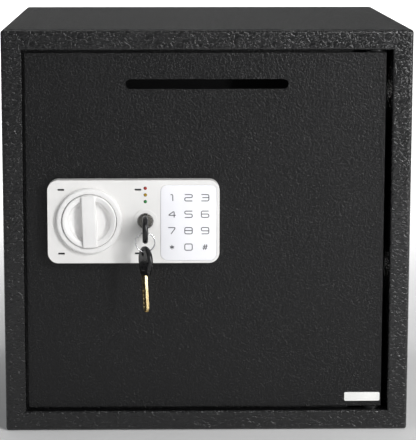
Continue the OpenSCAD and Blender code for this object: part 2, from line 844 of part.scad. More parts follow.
// Turning plug with its keyway, upright at rest
module cylinder_plug() {
    color("#8b8a86") difference() {
        union() {
            rod_y(cyl_x, cyl_z, cyl_front - 0.3, snail_y0, plug_r);
            block([cyl_x - 3, snail_y0 - stub, cyl_z - 3], [cyl_x + 3, snail_y0 + snail_t + 0.3,
                cyl_z + 3]);
        }
        block([cyl_x - keyway_t / 2, cyl_front - 1, cyl_z - keyway_w / 2],
            [cyl_x + keyway_t / 2, cyl_front + blade_len, cyl_z + keyway_w / 2]);
    }
}

// Snail cam on the end of the plug: its radius falls as the key turns, so the plunger can rise
module override_cam() {
    steps = 12;
    color("#8d9094") difference() {
        slab(snail_y0, snail_y0 + snail_t) translate([cyl_x, cyl_z]) polygon([
            for (i = [-2 : steps])
                let (r = snail_hi - plunger_rise * max(0, i / steps), a = -90 - key_turn * i / steps)
                    [r * cos(a), r * sin(a)],
            for (a = [-190 : -15 : -415]) [snail_lo * cos(a), snail_lo * sin(a)]]);
        block([cyl_x - 3, snail_y0 - 1, cyl_z - 3], [cyl_x + 3, snail_y0 + snail_t + 1, cyl_z + 3]);
    }
}

// Plunger with the lift pin that rides on the snail cam and a collar for its spring
module solenoid_plunger() {
    z0 = coil_z1 - coil_h + 4;
    color("#a9abae") {
        translate([cyl_x, plunger_y, z0]) cylinder(h = plunger_top - 1 - z0, r = plunger_r);
        translate([cyl_x, plunger_y, plunger_top - 1 - stub])
            cylinder(h = 1 + stub, r1 = plunger_r, r2 = plunger_r - 0.8);
        translate([cyl_x, plunger_y, lift_pin_z - 3]) cylinder(h = 1.5, r = plunger_r + 2);
        rod_y(cyl_x, lift_pin_z, snail_y0 - 0.5, plunger_y, lift_pin_r);
    }
}

// Return spring between the coil frame and the plunger's collar
module plunger_spring() {
    color("silver") difference() {
        translate([cyl_x, plunger_y, coil_z1 + frame_t])
            cylinder(h = lift_pin_z - 3 - coil_z1 - frame_t, r = plunger_r + 1.5);
        translate([cyl_x, plunger_y, coil_z1]) cylinder(h = 20, r = plunger_r + 0.5);
    }
}

// Steel frame round the coil, with a foot against the door plate
module solenoid_frame() {
    z0 = coil_z1 - coil_h - frame_t;
    w = coil_r + 1;
    color("#9a9ca0") difference() {
        union() {
            block([cyl_x - w, door_back, z0], [cyl_x + w, plunger_y + coil_r, coil_z1 + frame_t]);
            block([cyl_x - w - 7, door_back, z0], [cyl_x + w + 7, door_back + 2, coil_z1 + frame_t]);
        }
        block([cyl_x - w - 1, door_back + 2, z0 + frame_t], [cyl_x + w + 1, plunger_y + coil_r + 1,
            coil_z1]);
        translate([cyl_x, plunger_y, z0 - 1]) cylinder(h = coil_h + 3 * frame_t, r = plunger_r + 0.1);
    }
}

module solenoid_coil() {
    color("#8a4a22") difference() {
        translate([cyl_x, plunger_y, coil_z1 - coil_h]) cylinder(h = coil_h, r = coil_r);
        translate([cyl_x, plunger_y, coil_z1 - coil_h - 1]) cylinder(h = coil_h + 2, r = plunger_r + 0.1);
    }
}

// Shouldered posts the carrier slides on
module guide_posts() {
    color("silver") for (z = post_z)
        difference() {
            rod_y(post_x, z, door_back, carrier_y1 + 0.2, post_d / 2);
            rod_y(post_x, z, carrier_y1 - post_thread, carrier_y1 + 1, 2);
        }
}

// Screws that keep the carrier on its posts
module guide_screws() {
    color("#c8c8ca") for (z = post_z)
        back_screw(post_x, z, carrier_y1 + 0.2, carrier_y1 - post_thread, 2, post_d / 2 + 3, 2);
}

// Plate that carries both bolts; slots for posts and cam pin, notches for the plunger
module bolt_carrier() {
    z0 = bolt_z[0] - bolt_r - 2;
    z1 = bolt_z[1] + bolt_r + 2;
    slot_r = cam_pin_d / 2 + cam_play;
    rise = throw_r * (1 - cos(knob_turn / 2));
    color("#9a9ca0") difference() {
        union() {
            block([carrier_x0, carrier_y0, z0], [carrier_x1, carrier_y1, z1]);
            block([carrier_x1 - 1, carrier_y0, arm_z0], [cyl_x + bolt_throw + 9, carrier_y1,
                arm_z0 + arm_h]);
            for (z = bolt_z)
                block([tab_x0, bolt_y - bolt_r, z - bolt_r - 1], [tab_x1, carrier_y1, z + bolt_r + 1]);
        }
        for (z = bolt_z) rod_x(bolt_y, z, tab_x0 - 1, tab_x1 + 1, tail_r);
        for (z = post_z) slab(carrier_y0 - 1, carrier_y1 + 1) {
            rect(post_x, z - post_d / 2 - post_play, post_x + bolt_throw, z + post_d / 2 + post_play);
            for (x = [post_x, post_x + bolt_throw]) translate([x, z]) circle(post_d / 2 + post_play);
        }
        slab(carrier_y0 - 1, carrier_y1 + 1) {
            rect(cam_pin_x - slot_r, cam_pin_z - 0.6, cam_pin_x + slot_r, cam_pin_z + rise + 0.6);
            for (z = [cam_pin_z - 0.6, cam_pin_z + rise + 0.6]) translate([cam_pin_x, z]) circle(slot_r);
        }
        for (x = [cyl_x, cyl_x + bolt_throw]) slab(carrier_y0 - 1, carrier_y1 + 1)
            rect(x - notch_r, arm_z0 - 1, x + notch_r, arm_z0 + plunger_rise + 1);
    }
}

// Round bolt with a chamfered tip and a reduced tail through the carrier tab
module bolt(z) {
    chamfer = 2;
    translate([bolt_tip, bolt_y, z]) rotate([0, 90, 0]) rotate_extrude() polygon([
        [0, 0], [bolt_r - chamfer, 0], [bolt_r, chamfer], [bolt_r, tab_x0 - bolt_tip],
        [tail_r, tab_x0 - bolt_tip], [tail_r, tab_x1 + nut_t + 1 - bolt_tip], [0,
            tab_x1 + nut_t + 1 - bolt_tip]]);
}

module upper_bolt() {
    color("silver") bolt(bolt_z[1]);
}

module lower_bolt() {
    color("silver") bolt(bolt_z[0]);
}

module bolt_nuts() {
    color("#c8c8ca") for (z = bolt_z) difference() {
        translate([tab_x1, bolt_y, z]) rotate([0, 90, 0]) cylinder(h = nut_t, r = tail_r + 3.5, $fn = 6);
        rod_x(bolt_y, z, tab_x1 - 1, tab_x1 + nut_t + 1, tail_r);
    }
}

// Dished knob with a sloping rim, a grip bar across it and a hub for the spindle
module knob() {
    rim = knob_back - panel_face + rim_out;
    dish_r = knob_r - band_w - 0.3;
    dish_h = rim - band_fall - 0.5;
    color("#ededeb") difference() {
        union() {
            turned(knob_x, knob_z, knob_back) polygon([
                [0, 0], [knob_r, 0], [knob_r, rim - 1], [knob_r - 1, rim], [knob_r - band_w, rim - band_fall],
                for (a = [0 : 15 : 90]) [dish_r - cove_w * (1 - cos(a)),
                    knob_wall + (dish_h - knob_wall) * (1 - sin(a))],
                [0, knob_wall]]);
            rod_y(knob_x, knob_z, dish_y, door_front - 0.5, spindle_r + 4);
            intersection() {
                rod_y(knob_x, knob_z, panel_face - grip_out, dish_y + 1, knob_r - 0.3);
                translate([knob_x, 0, knob_z]) rotate([0, -grip_tilt, 0])
                    block([-grip_w / 2, panel_face - grip_out - 1, -knob_r], [grip_w / 2, dish_y + 1,
                        knob_r]);
            }
        }
        rod_y(knob_x, knob_z, panel_face - 2, door_front + 1, spindle_r);
    }
}

// Spindle from the grip bar, through the bush, to the drive cam
module knob_spindle() {
    color("silver") rod_y(knob_x, knob_z, panel_face - 2, cam_y1, spindle_r);
}

// Round cam with the pin that drives the carrier
module drive_cam() {
    color("#9a9ca0") difference() {
        union() {
            rod_y(knob_x, knob_z, cam_y0, cam_y1, cam_r);
            rod_y(cam_pin_x, cam_pin_z, cam_y0, carrier_y1, cam_pin_d / 2);
        }
        rod_y(knob_x, knob_z, cam_y0 - 1, cam_y1 + 1, spindle_r);
    }
}

// Low screw and washer on the end of the spindle
module cam_screw() {
    color("#c8c8ca") rod_y(knob_x, knob_z, cam_y1, cam_y1 + cam_gap - 0.6, spindle_r + 2);
}

// Outline of a key bow in its own plane: the eye is at the origin, the blade points down
module bow_outline() {
    r = bow_w / 2;
    drop = eye_out - r;
    end = eye_out - bow_len;
    neck = 7.3;
    shift = -0.4 * bow_drop;
    polygon([for (a = [-24 : 6 : 204]) [r * cos(a), drop + r * sin(a)], [shift - neck, end],
        [shift + neck, end]]);
}

// Moulded bow with its eye and a shallow oval on both faces
module bow_solid() {
    oval_z = -(bow_len - eye_out) * 0.58;
    difference() {
        translate([bow_t / 2, 0, 0]) rotate([90, 0, -90]) linear_extrude(bow_t) bow_outline();
        rod_x(0, 0, -bow_t, bow_t, eye_d / 2);
        for (s = [-1, 1]) translate([s * (bow_t / 2 + 0.5) - 0.9, 0, oval_z])
            rotate([0, 90, 0]) linear_extrude(1.8) oval_outline(13, 7.3);
        translate([0, bow_drop, -(bow_len - eye_out)])
            cube([blade_t, blade_w, 8], center = true);
    }
}

// Oval made of two round ends and a bar, long across the bow
module oval_outline(w, h) {
    square([h, w - h], center = true);
    for (s = [-1, 1]) translate([0, s * (w - h) / 2]) circle(h / 2);
}

// Blade with a rounded tip, drilled dimples and a groove along each face
module blade_solid() {
    z_top = -(bow_len - eye_out) + 4;
    z_end = -(bow_len - eye_out) - blade_len;
    translate([0, bow_drop, 0]) difference() {
        translate([blade_t / 2, 0, 0]) rotate([90, 0, -90]) linear_extrude(blade_t) polygon([
            [-blade_w / 2, z_top], [-blade_w / 2, z_end + 3], [-blade_w / 2 + 2.4, z_end],
            [blade_w / 2 - 2.4, z_end], [blade_w / 2, z_end + 3], [blade_w / 2, z_top]]);
        for (s = [-1, 1]) {
            translate([s * blade_t / 2, -1.5, z_end + 6])
                cube([0.9, 1, 2 * (blade_len - 7)], center = true);
            for (i = [0 : 4]) translate([s * (blade_t / 2 + 0.3), 1.6, z_end + 4 + i * 3.4])
                sphere(r = 1.2);
        }
    }
}

// Places a key so that its eye is at a point; the inserted key points into the lock
module in_lock() {
    translate([cyl_x, eye_y, cyl_z - bow_drop]) rotate([90, 0, 0]) children();
}

module hanging() {
    translate([cyl_x, eye_y, spare_z]) rotate([0, 0, spare_turn]) rotate([-spare_tilt, 0, 0])
        children();
}

module key_bow() {
    color("#141414") in_lock() bow_solid();
}

module key_blade() {
    color("#c8b070") in_lock() blade_solid();
}

module key_ring() {
    color("#c4c4c6") translate([cyl_x, eye_y, ring_z]) rotate([90, 0, 0])
        rotate_extrude() translate([ring_r, 0]) circle(wire_r);
}

module spare_bow() {
    color("#141414") hanging() bow_solid();
}

module spare_blade() {
    color("#c8b070") hanging() blade_solid();
}

// Circuit board that times the delay, with its relay, timer chip and buzzer
module delay_board() {
    top = board_y0 + board_t;
    color("#2f6b3a") block([board_x0, board_y0, board_z0], [board_x0 + board_w, top, board_z0 + board_h]);
    color("#222222") {
        translate([board_x0 + board_w * 0.11, top, board_z0 + board_h * 0.12]) cube(chip);
        translate([board_x0 + board_w * 0.66, top, board_z0 + board_h * 0.55]) cube(relay);
        rod_y(board_x0 + board_w * 0.59, board_z0 + board_h * 0.24, top, top + 8, buzzer_r);
    }
    color("#1a1a1a") block([button_x - 5, top, button_z - 5], [button_x + 5, cover_y - 9, button_z + 5]);
}

module board_standoffs() {
    color("silver") for (x = [standoff_in, board_w - standoff_in], z = [standoff_in, board_h - standoff_in])
        rod_y(board_x0 + x, board_z0 + z, door_back, board_y0, 2.5);
}

// Red button on the control board, reached through the inner cover
module reset_button() {
    color("#c23028") {
        rod_y(button_x, button_z, cover_y - 9 + button_travel + 0.2, cover_y + cover_t + 2, button_d / 2);
        rod_y(button_x, button_z, cover_y - 9 + button_travel + 0.2, cover_y - 5, button_d / 2 + 1);
    }
}

// Open tray for the cells, behind the window in the inner cover
module battery_box() {
    color("#1c1c1e") difference() {
        block([box_x0, box_y0, box_z0], [box_x1, box_y1, box_z1]);
        block([box_x0 + cell_wall, box_y0 + cell_wall, box_z0 + cell_wall],
            [box_x1 - cell_wall, box_y1 + 1, box_z1 - cell_wall]);
    }
    color("#1c1c1e") for (x = [box_x0 + 5, box_x1 - 5], z = [box_z0 + 5, box_z1 - 5])
        rod_y(x, z, door_back, box_y0 + stub, 3);
}

module battery_cells() {
    z0 = (box_z0 + box_z1 - cell_len) / 2;
    for (i = [0 : cell_count - 1]) {
        x = box_x0 + cell_wall + cell_room + (cell_d + cell_room) * i + cell_d / 2;
        color("#30343a") translate([x, cell_y, z0]) cylinder(h = cell_len - 1.5, d = cell_d);
        color("silver") translate([x, cell_y, z0 + cell_len - 1.5 - stub])
            cylinder(h = 1.5 + stub, d = 5);
    }
}

// Contact strips at both ends of the cells
module battery_contacts() {
    color("#c4c4c6") for (top = [0, 1]) {
        z = top == 1 ? box_z1 - cell_wall - 2.2 : box_z0 + cell_wall;
        block([box_x0 + cell_wall + 1, cell_y - 4, z], [box_x1 - cell_wall - 1, cell_y + 4, z + 2.2]);
    }
}

// Lid that slides off the cells along the rails, with grip ribs
module battery_lid() {
    y0 = cover_y + cover_t + lid_play;
    color("#2a2a2c") difference() {
        block([box_x0 + 1, y0, lid_z0], [box_x1 - 1, y0 + lid_t, lid_z1]);
        for (i = [0 : 5])
            block([box_x0 + 6 + i * 2.4, y0 + lid_t - 0.6, lid_z0 + 20], [box_x0 + 7.2 + i * 2.4,
                y0 + lid_t + 1, lid_z1 - 20]);
    }
}

// Plain white sticker at the lower corner of the door
module blank_sticker() {
    color("#efefec") slab(door_front - 0.25, door_front)
        round_rect(door_x1 - sticker_w / 2 - 1, door_z0 + sticker_h / 2 + 4.3, sticker_w, sticker_h, 1.2);
}

cabinet_wrap();
back_panel();
front_frame();
door_stops();
upper_hinge_bush();
lower_hinge_bush();
floor_mat();
door_plate();
upper_hinge_block();
lower_hinge_block();
upper_hinge_pin();
lower_hinge_pin();
bolt_guide();
inner_cover();
cover_screws();
deposit_chute();
chute_baffle();
lock_housing();
housing_screws();
knob_bezel();
spindle_bush();
keypad_overlay();
keypad_board();
keypad_ribbon();
red_light();
amber_light();
green_light();
lock_cylinder();
cylinder_nut();
guide_posts();
guide_screws();
solenoid_frame();
solenoid_coil();
plunger_spring();
delay_board();
board_standoffs();
battery_box();
battery_cells();
battery_contacts();
blank_sticker();
knob();
knob_spindle();
drive_cam();
cam_screw();
bolt_carrier();
upper_bolt();
lower_bolt();
bolt_nuts();
cylinder_plug();
override_cam();
solenoid_plunger();
key_bow();
key_blade();
key_ring();
spare_bow();
spare_blade();
battery_lid();
reset_button();
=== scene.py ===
# The looks of a small deposit safe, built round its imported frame.
# Lengths in the dictionaries are millimetres unless a note says otherwise; Blender's own unit is the metre.

import math

import bmesh
import bpy
import numpy as np
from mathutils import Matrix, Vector


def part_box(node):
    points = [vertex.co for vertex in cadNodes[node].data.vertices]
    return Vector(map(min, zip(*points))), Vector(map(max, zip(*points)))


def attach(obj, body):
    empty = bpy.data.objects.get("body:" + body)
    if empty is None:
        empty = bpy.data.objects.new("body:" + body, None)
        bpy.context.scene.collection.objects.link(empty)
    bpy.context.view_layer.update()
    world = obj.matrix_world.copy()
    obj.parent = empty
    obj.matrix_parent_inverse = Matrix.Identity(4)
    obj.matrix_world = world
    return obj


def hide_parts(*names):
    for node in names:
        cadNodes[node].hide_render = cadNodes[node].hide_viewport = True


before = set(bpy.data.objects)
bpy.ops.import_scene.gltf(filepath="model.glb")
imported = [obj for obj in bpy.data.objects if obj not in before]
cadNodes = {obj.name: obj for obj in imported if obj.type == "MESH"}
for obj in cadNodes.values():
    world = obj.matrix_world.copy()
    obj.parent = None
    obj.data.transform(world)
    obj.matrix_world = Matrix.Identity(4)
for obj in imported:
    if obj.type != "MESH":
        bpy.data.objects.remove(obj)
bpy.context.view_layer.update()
mm = 0.001
print("frame loaded:", len(cadNodes), "nodes")


# Where things are, read from the frame

# The lowest and the highest corner of a node, in millimetres
def corners(node):
    low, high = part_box(node)
    return np.array(low) / mm, np.array(high) / mm


def middle(node):
    low, high = corners(node)
    return (low + high) / 2


# The middle of a node seen from the front, as (x, z)
def centreOf(node):
    return middle(node)[[0, 2]]


# Half the width of a round node
def radiusOf(node):
    low, high = corners(node)
    return (high[0] - low[0]) / 2


# The corner points of a node's solid, in millimetres
def nodePoints(node):
    return np.array([tuple(point.co) for point in cadNodes[node].data.vertices]) / mm


# Colours and node helpers

# sRGB hex to linear: c / 12.92 below 0.04045, else ((c + 0.055) / 1.055) to the power 2.4
def linearColour(hexText):
    values = [int(hexText[i:i + 2], 16) / 255 for i in (1, 3, 5)]
    return [c / 12.92 if c <= 0.04045 else ((c + 0.055) / 1.055) ** 2.4 for c in values] + [1.0]


# Adds a shader node; inputs that are sockets are linked, other values are set
def addNode(tree, kind, settings=None, inputs=None):
    node = tree.nodes.new(kind)
    for key, value in (settings or {}).items():
        setattr(node, key, value)
    for key, value in (inputs or {}).items():
        if isinstance(value, bpy.types.NodeSocket):
            tree.links.new(value, node.inputs[key])
        else:
            node.inputs[key].default_value = value
    return node


# A material with a Principled surface, its fixed values set on the shader's own sockets
def startMaterial(name, **surface):
    material = bpy.data.materials.new(name)
    material.use_nodes = True
    tree = material.node_tree
    shader = tree.nodes["Principled BSDF"]
    for key, value in surface.items():
        shader.inputs[key.replace("_", " ")].default_value = value
    place = addNode(tree, "ShaderNodeTexCoord").outputs["Object"]
    return material, tree, shader, place


# Noise whose cells are about sizeMm across; Object coordinates are metres, so its scale is 1000 / size
def noiseOf(tree, place, sizeMm, detail=3.0, rough=0.5, distort=0.0):
    return addNode(tree, "ShaderNodeTexNoise", {"noise_dimensions": "3D"}, {
        "Vector": place, "Scale": 1000 / sizeMm, "Detail": detail, "Roughness": rough,
        "Distortion": distort}).outputs["Fac"]


# Blends two values or colours across a range of a factor
def rampOf(tree, factor, low, high, lowAt=0.35, highAt=0.65):
    ramp = addNode(tree, "ShaderNodeValToRGB", None, {"Fac": factor})
    for stop, place, value in zip(ramp.color_ramp.elements, (lowAt, highAt), (low, high)):
        stop.position = place
        stop.color = value if isinstance(value, list) else [value, value, value, 1]
    return ramp.outputs["Color"]


# A relief of depthMm from a height between 0 and 1, over another relief where one is given
def bumpOf(tree, shader, height, depthMm, strength=1.0, under=None):
    bump = addNode(tree, "ShaderNodeBump", None,
                   {"Height": height, "Distance": depthMm * mm, "Strength": strength})
    if under:
        tree.links.new(under, bump.inputs["Normal"])
    tree.links.new(bump.outputs["Normal"], shader.inputs["Normal"])
    return bump.outputs["Normal"]


# A blend as rampOf makes it, led to one of the shader's sockets
def feed(tree, shader, socket, factor, *ramp):
    tree.links.new(rampOf(tree, factor, *ramp), shader.inputs[socket])


# The surface colour as one shade times another
def feedProduct(tree, shader, shade, other):
    mixed = addNode(tree, "ShaderNodeMix", {"data_type": "RGBA", "blend_type": "MULTIPLY"},
                    {"Factor": 1.0, "A": shade, "B": other})
    tree.links.new(mixed.outputs["Result"], shader.inputs["Base Color"])


# Materials, each named for the real one and how its surface was made

coatLook = {"detail": 2.0, "rough": 0.45, "twist": 1.1, "ridges": (0.40, 0.62), "paintedRidgeLight": (0.1, 0.95),
            "gritSize": 0.32, "gritDepth": 0.22, "gritStrength": 0.7, "cloudMm": 60.0, "cloudShade": 0.86,
            "spread": (0.3, 0.7)}


# Polyester powder coat, sprayed and oven cured over steel: soft worm-like ridges with satin crests, the crests
# painted lighter than the valleys as painted highlight and painted shade. The grit's size and depth are shares
# of those of the ridges.
def powderCoat(name, base, light, ridgeMm, depthMm, roughLow, roughHigh, specular):
    look = coatLook
    material, tree, shader, place = startMaterial(name, Specular_IOR_Level=specular)
    worms = noiseOf(tree, place, ridgeMm, look["detail"], look["rough"], look["twist"])
    ridges = rampOf(tree, worms, 0.0, 1.0, *look["ridges"])
    grit = noiseOf(tree, place, ridgeMm * look["gritSize"], 1.0)
    cloud = noiseOf(tree, place, look["cloudMm"], look["detail"])
    # painted highlight and shade: the ridge crests take the lighter colour, the valleys the darker one
    paintedRidgeLight = rampOf(tree, ridges, linearColour(base), linearColour(light), *look["paintedRidgeLight"])
    feedProduct(tree, shader, paintedRidgeLight, rampOf(tree, cloud, look["cloudShade"], 1.0, *look["spread"]))
    feed(tree, shader, "Roughness", grit, roughLow, roughHigh, *look["spread"])
    fine = bumpOf(tree, shader, grit, depthMm * look["gritDepth"], look["gritStrength"])
    bumpOf(tree, shader, ridges, depthMm, 1.0, fine)
    return material


plasticLook = {"ior": 1.5, "cloudMm": 35.0, "detail": 2.0, "smooth": 0.9, "dull": 1.12}


# Injection moulded plastic: an even colour over a spark-eroded grain, which is drawn coarser than the real one
def mouldedPlastic(name, colour, tint, rough, grainMm=0.9, depthMm=0.012):
    look = plasticLook
    material, tree, shader, place = startMaterial(name, IOR=look["ior"])
    cloud = noiseOf(tree, place, look["cloudMm"], look["detail"])
    feed(tree, shader, "Base Color", cloud, linearColour(tint), linearColour(colour))
    grain = noiseOf(tree, place, grainMm, look["detail"])
    feed(tree, shader, "Roughness", grain, rough * look["smooth"], rough * look["dull"])
    bumpOf(tree, shader, grain, depthMm)
    return material


metalLook = {"cloudMm": 9.0, "smooth": 0.8, "dull": 1.25}


# Plated or turned metal: fine tool marks drawn out along one way, slightly uneven in colour
def workedMetal(name, colour, tint, rough, grainMm=1.2, stretch=(1, 1, 1), depthMm=0.01):
    look = metalLook
    material, tree, shader, place = startMaterial(name, Metallic=1.0)
    cloud = noiseOf(tree, place, look["cloudMm"])
    feed(tree, shader, "Base Color", cloud, linearColour(colour), linearColour(tint))
    drawn = addNode(tree, "ShaderNodeMapping", None, {"Vector": place, "Scale": stretch}).outputs["Vector"]
    grain = noiseOf(tree, drawn, grainMm)
    feed(tree, shader, "Roughness", grain, rough * look["smooth"], rough * look["dull"])
    bumpOf(tree, shader, grain, depthMm)
    return material


lensLook = {"rough": 0.12, "ior": 1.55, "coat": 0.4, "streakMm": 1.6}


# Tinted epoxy lens of an indicator light, cast in a mould: glossy, with faint streaks in its colour
def clearLens(name, colour, deep):
    look = lensLook
    material, tree, shader, place = startMaterial(name, Roughness=look["rough"], IOR=look["ior"],
                                                  Coat_Weight=look["coat"])
    streaks = noiseOf(tree, place, look["streakMm"], 1.0)
    feed(tree, shader, "Base Color", streaks, linearColour(deep), linearColour(colour))
    return material


maskLook = {"rough": 0.3, "coat": 0.5, "gridMm": 4.5, "line": 0.05, "raisedMm": 0.03,
            "colours": {"Color1": "#1f5a30", "Color2": "#236637", "Mortar": "#3c8a4c"}}


# Green solder mask over etched copper: tracks show as slightly raised, lighter lines
def circuitMask(name):
    look = maskLook
    material, tree, shader, place = startMaterial(name, Roughness=look["rough"], Coat_Weight=look["coat"])
    flat = addNode(tree, "ShaderNodeMapping", None, {"Vector": place, "Rotation": (math.pi / 2, 0, 0)})
    inputs = {"Vector": flat.outputs["Vector"], "Scale": 1000 / look["gridMm"], "Mortar Size": look["line"]}
    inputs.update({socket: linearColour(colour) for socket, colour in look["colours"].items()})
    tracks = addNode(tree, "ShaderNodeTexBrick", {"offset": 0.5}, inputs)
    tree.links.new(tracks.outputs["Color"], shader.inputs["Base Color"])
    bumpOf(tree, shader, tracks.outputs["Fac"], look["raisedMm"])
    return material


feltLook = {"sheen": 0.35, "sheenRough": 0.6, "fibreMm": 0.9, "detail": 5.0, "rough": 0.7, "tangle": 2.0,
            "dullness": (0.85, 1.0), "napMm": 0.35}


# Needled polyester felt: short tangled fibres just under a millimetre apart, matt with a faint nap
def feltCloth(name, colour, light):
    look = feltLook
    material, tree, shader, place = startMaterial(name, Sheen_Weight=look["sheen"],
                                                  Sheen_Roughness=look["sheenRough"])
    fibres = noiseOf(tree, place, look["fibreMm"], look["detail"], look["rough"], look["tangle"])
    feed(tree, shader, "Base Color", fibres, linearColour(colour), linearColour(light))
    feed(tree, shader, "Roughness", fibres, *look["dullness"])
    bumpOf(tree, shader, fibres, look["napMm"])
    return material


bandLook = {"wander": 0.4, "dull": 1.2, "depth": 0.25}


# Even bands, as of wound wire or a ribbon's cores: a wave of scale s has s * 20 / pi bands in a metre, and its
# depth is a share of the spacing
def bandedSurface(name, colour, light, spacingMm, rough, metallic, direction="Z"):
    material, tree, shader, place = startMaterial(name, Metallic=metallic)
    bands = addNode(tree, "ShaderNodeTexWave", {"wave_type": "BANDS", "bands_direction": direction}, {
        "Vector": place, "Scale": 1000 / spacingMm * math.pi / 20,
        "Distortion": bandLook["wander"]}).outputs["Fac"]
    feed(tree, shader, "Base Color", bands, linearColour(colour), linearColour(light))
    feed(tree, shader, "Roughness", bands, rough, rough * bandLook["dull"])
    bumpOf(tree, shader, bands, spacingMm * bandLook["depth"])
    return material


# the second colour of each coat is the painted highlight on its ridge crests
coatCabinet = powderCoat("wrinkle powder coat, cabinet", "#0c0c0d", "#141415", 2.6, 0.25, 0.32, 0.44, 0.4)
coatFrame = powderCoat("wrinkle powder coat, front frame", "#0b0b0c", "#131314", 3.2, 0.3, 0.15, 0.27, 0.55)
coatDoor = powderCoat("fine powder coat, door", "#0e0e0f", "#131314", 2.0, 0.17, 0.26, 0.36, 0.33)
coatInside = powderCoat("satin powder coat, inner cover", "#161617", "#222223", 1.2, 0.03, 0.45, 0.6, 0.4)
absWhite = mouldedPlastic("moulded white ABS", "#efeeec", "#eae9e7", 0.36)
absKnob = mouldedPlastic("moulded white ABS, knob", "#f1f0ef", "#ecebea", 0.33)
filmOverlay = mouldedPlastic("polycarbonate overlay film", "#fbfbfe", "#f6f6fb", 0.16, 4.0, 0.004)
digitInk = mouldedPlastic("screen printed grey ink", "#4c4d53", "#434449", 0.5, 0.5, 0.003)
absBlack = mouldedPlastic("moulded black ABS", "#161617", "#1b1b1c", 0.42)
acetalBlack = mouldedPlastic("turned black acetal", "#141415", "#19191a", 0.34, 1.4, 0.008)
keyPlastic = mouldedPlastic("black key plastic", "#0d0d0e", "#121213", 0.3, 2.2, 0.006)
buttonRed = mouldedPlastic("moulded red button", "#b3261d", "#a8221a", 0.3)
cellSleeve = mouldedPlastic("shrink sleeve on cells", "#2c3038", "#353a44", 0.25, 3.0, 0.01)
stickerPaper = mouldedPlastic("coated sticker paper", "#f4f4f2", "#eeeeeb", 0.55, 0.4, 0.01)
steelZinc = workedMetal("zinc plated pressed steel", "#9a9ca0", "#b4b2a6", 0.36)
steelBright = workedMetal("turned bright steel", "#b9babd", "#c9cacc", 0.24, 0.8, (0.2, 1, 1))
steelScrew = workedMetal("nickel plated screw", "#a9a9ac", "#bdbdbf", 0.28)
brassBush = workedMetal("turned brass", "#b08a44", "#c39c55", 0.3)
chromeLock = workedMetal("satin chromed zinc", "#8f8e8c", "#a19f9c", 0.26)
# the plug's nickel is a darker colour than the cylinder's chrome; no wear is drawn
chromePlug = workedMetal("darker nickel plug", "#7c7a75", "#93908a", 0.32)
nickelWire = workedMetal("drawn nickel wire", "#c2c2c5", "#d2d2d4", 0.18, 0.6)
keyBrass = workedMetal("milled nickel brass key", "#b59a63", "#d8cda8", 0.26, 0.7, (1, 1, 0.25), 0.02)
lensRed = clearLens("red light lens", "#b5322c", "#7d120d")
lensAmber = clearLens("amber light lens", "#a98a1c", "#6b5510")
lensGreen = clearLens("green light lens", "#1f8a3c", "#0d4a1f")
boardGreen = circuitMask("solder mask on board")
matFelt = feltCloth("needled grey felt", "#26262a", "#3c3c42")
coilCopper = bandedSurface("enamelled copper winding", "#6e2f12", "#a8562a", 0.9, 0.3, 0.8)
ribbonGrey = bandedSurface("grey ribbon cable", "#8e8e92", "#bdbdc0", 1.27, 0.5, 0.0, "X")
print("materials made:", len(bpy.data.materials))


# Gives an object a finish in place of the one that it has
def coatIn(item, material):
    item.data.materials.clear()
    item.data.materials.append(material)


nodeFinishes = {  # of the CAD nodes that show as they are; the others are replaced below
    "cabinet_wrap": coatCabinet, "door_stops": coatDoor, "upper_hinge_block": coatDoor,
    "lower_hinge_block": coatDoor, "deposit_chute": coatInside, "drive_cam": steelZinc,
    "override_cam": steelZinc, "solenoid_frame": steelZinc, "chute_baffle": steelZinc,
    "guide_posts": steelZinc, "board_standoffs": steelZinc, "solenoid_plunger": steelZinc,
    "knob_spindle": steelZinc, "cylinder_nut": steelZinc, "bolt_nuts": steelZinc, "cam_screw": steelZinc,
    "upper_hinge_pin": steelBright, "lower_hinge_pin": steelBright, "plunger_spring": steelBright,
    "battery_contacts": steelBright, "cover_screws": steelScrew, "housing_screws": steelScrew,
    "guide_screws": steelScrew, "spindle_bush": brassBush, "upper_hinge_bush": acetalBlack,
    "lower_hinge_bush": acetalBlack, "battery_cells": cellSleeve, "keypad_board": boardGreen,
    "delay_board": boardGreen, "keypad_ribbon": ribbonGrey, "solenoid_coil": coilCopper,
    "key_ring": nickelWire,
}
for node, material in nodeFinishes.items():
    coatIn(cadNodes[node], material)


# Shapes as functions of two parameters, all in millimetres; each gives points, quads and mostly end faces

shaping = {"weld": 0.0001, "axisGap": 0.01, "leastCorner": 0.05, "leastMitre": 0.5, "mostOfLeg": 0.45,
           "cornerSteps": 5}


def quarterTurn(steps):
    return np.linspace(0, math.pi / 2, steps)


# Quads of a grid of points: cell (i, j) joins rows i and i + 1 with columns j and j + 1, wrapping where closed
def gridFaces(rows, columns, closedRows=False, closedColumns=True):
    i, j = np.meshgrid(np.arange(rows if closedRows else rows - 1),
                       np.arange(columns if closedColumns else columns - 1), indexing="ij")
    iNext, jNext = (i + 1) % rows, (j + 1) % columns
    quads = [i * columns + j, iNext * columns + j, iNext * columns + jNext, i * columns + jNext]
    return np.stack(quads, -1).reshape(-1, 4)


# The first and the last ring of such a grid, as the faces that close it
def endRings(rows, columns):
    last = (rows - 1) * columns
    return [list(range(columns)), list(range(last, last + columns))]


# A profile of (radius, y) carried round a line along Y through axis = (x, z):
# point = (x + r cos a, y, z + r sin a)
def turned(axis, profile, sides):
    profile = np.array(profile, float)
    angle = np.linspace(0, 2 * np.pi, sides, endpoint=False)
    radius = np.repeat(profile[:, :1], sides, 1)
    points = np.stack([axis[0] + radius * np.cos(angle), np.repeat(profile[:, 1:], sides, 1),
                       axis[1] + radius * np.sin(angle)], -1)
    return points, gridFaces(len(profile), sides)


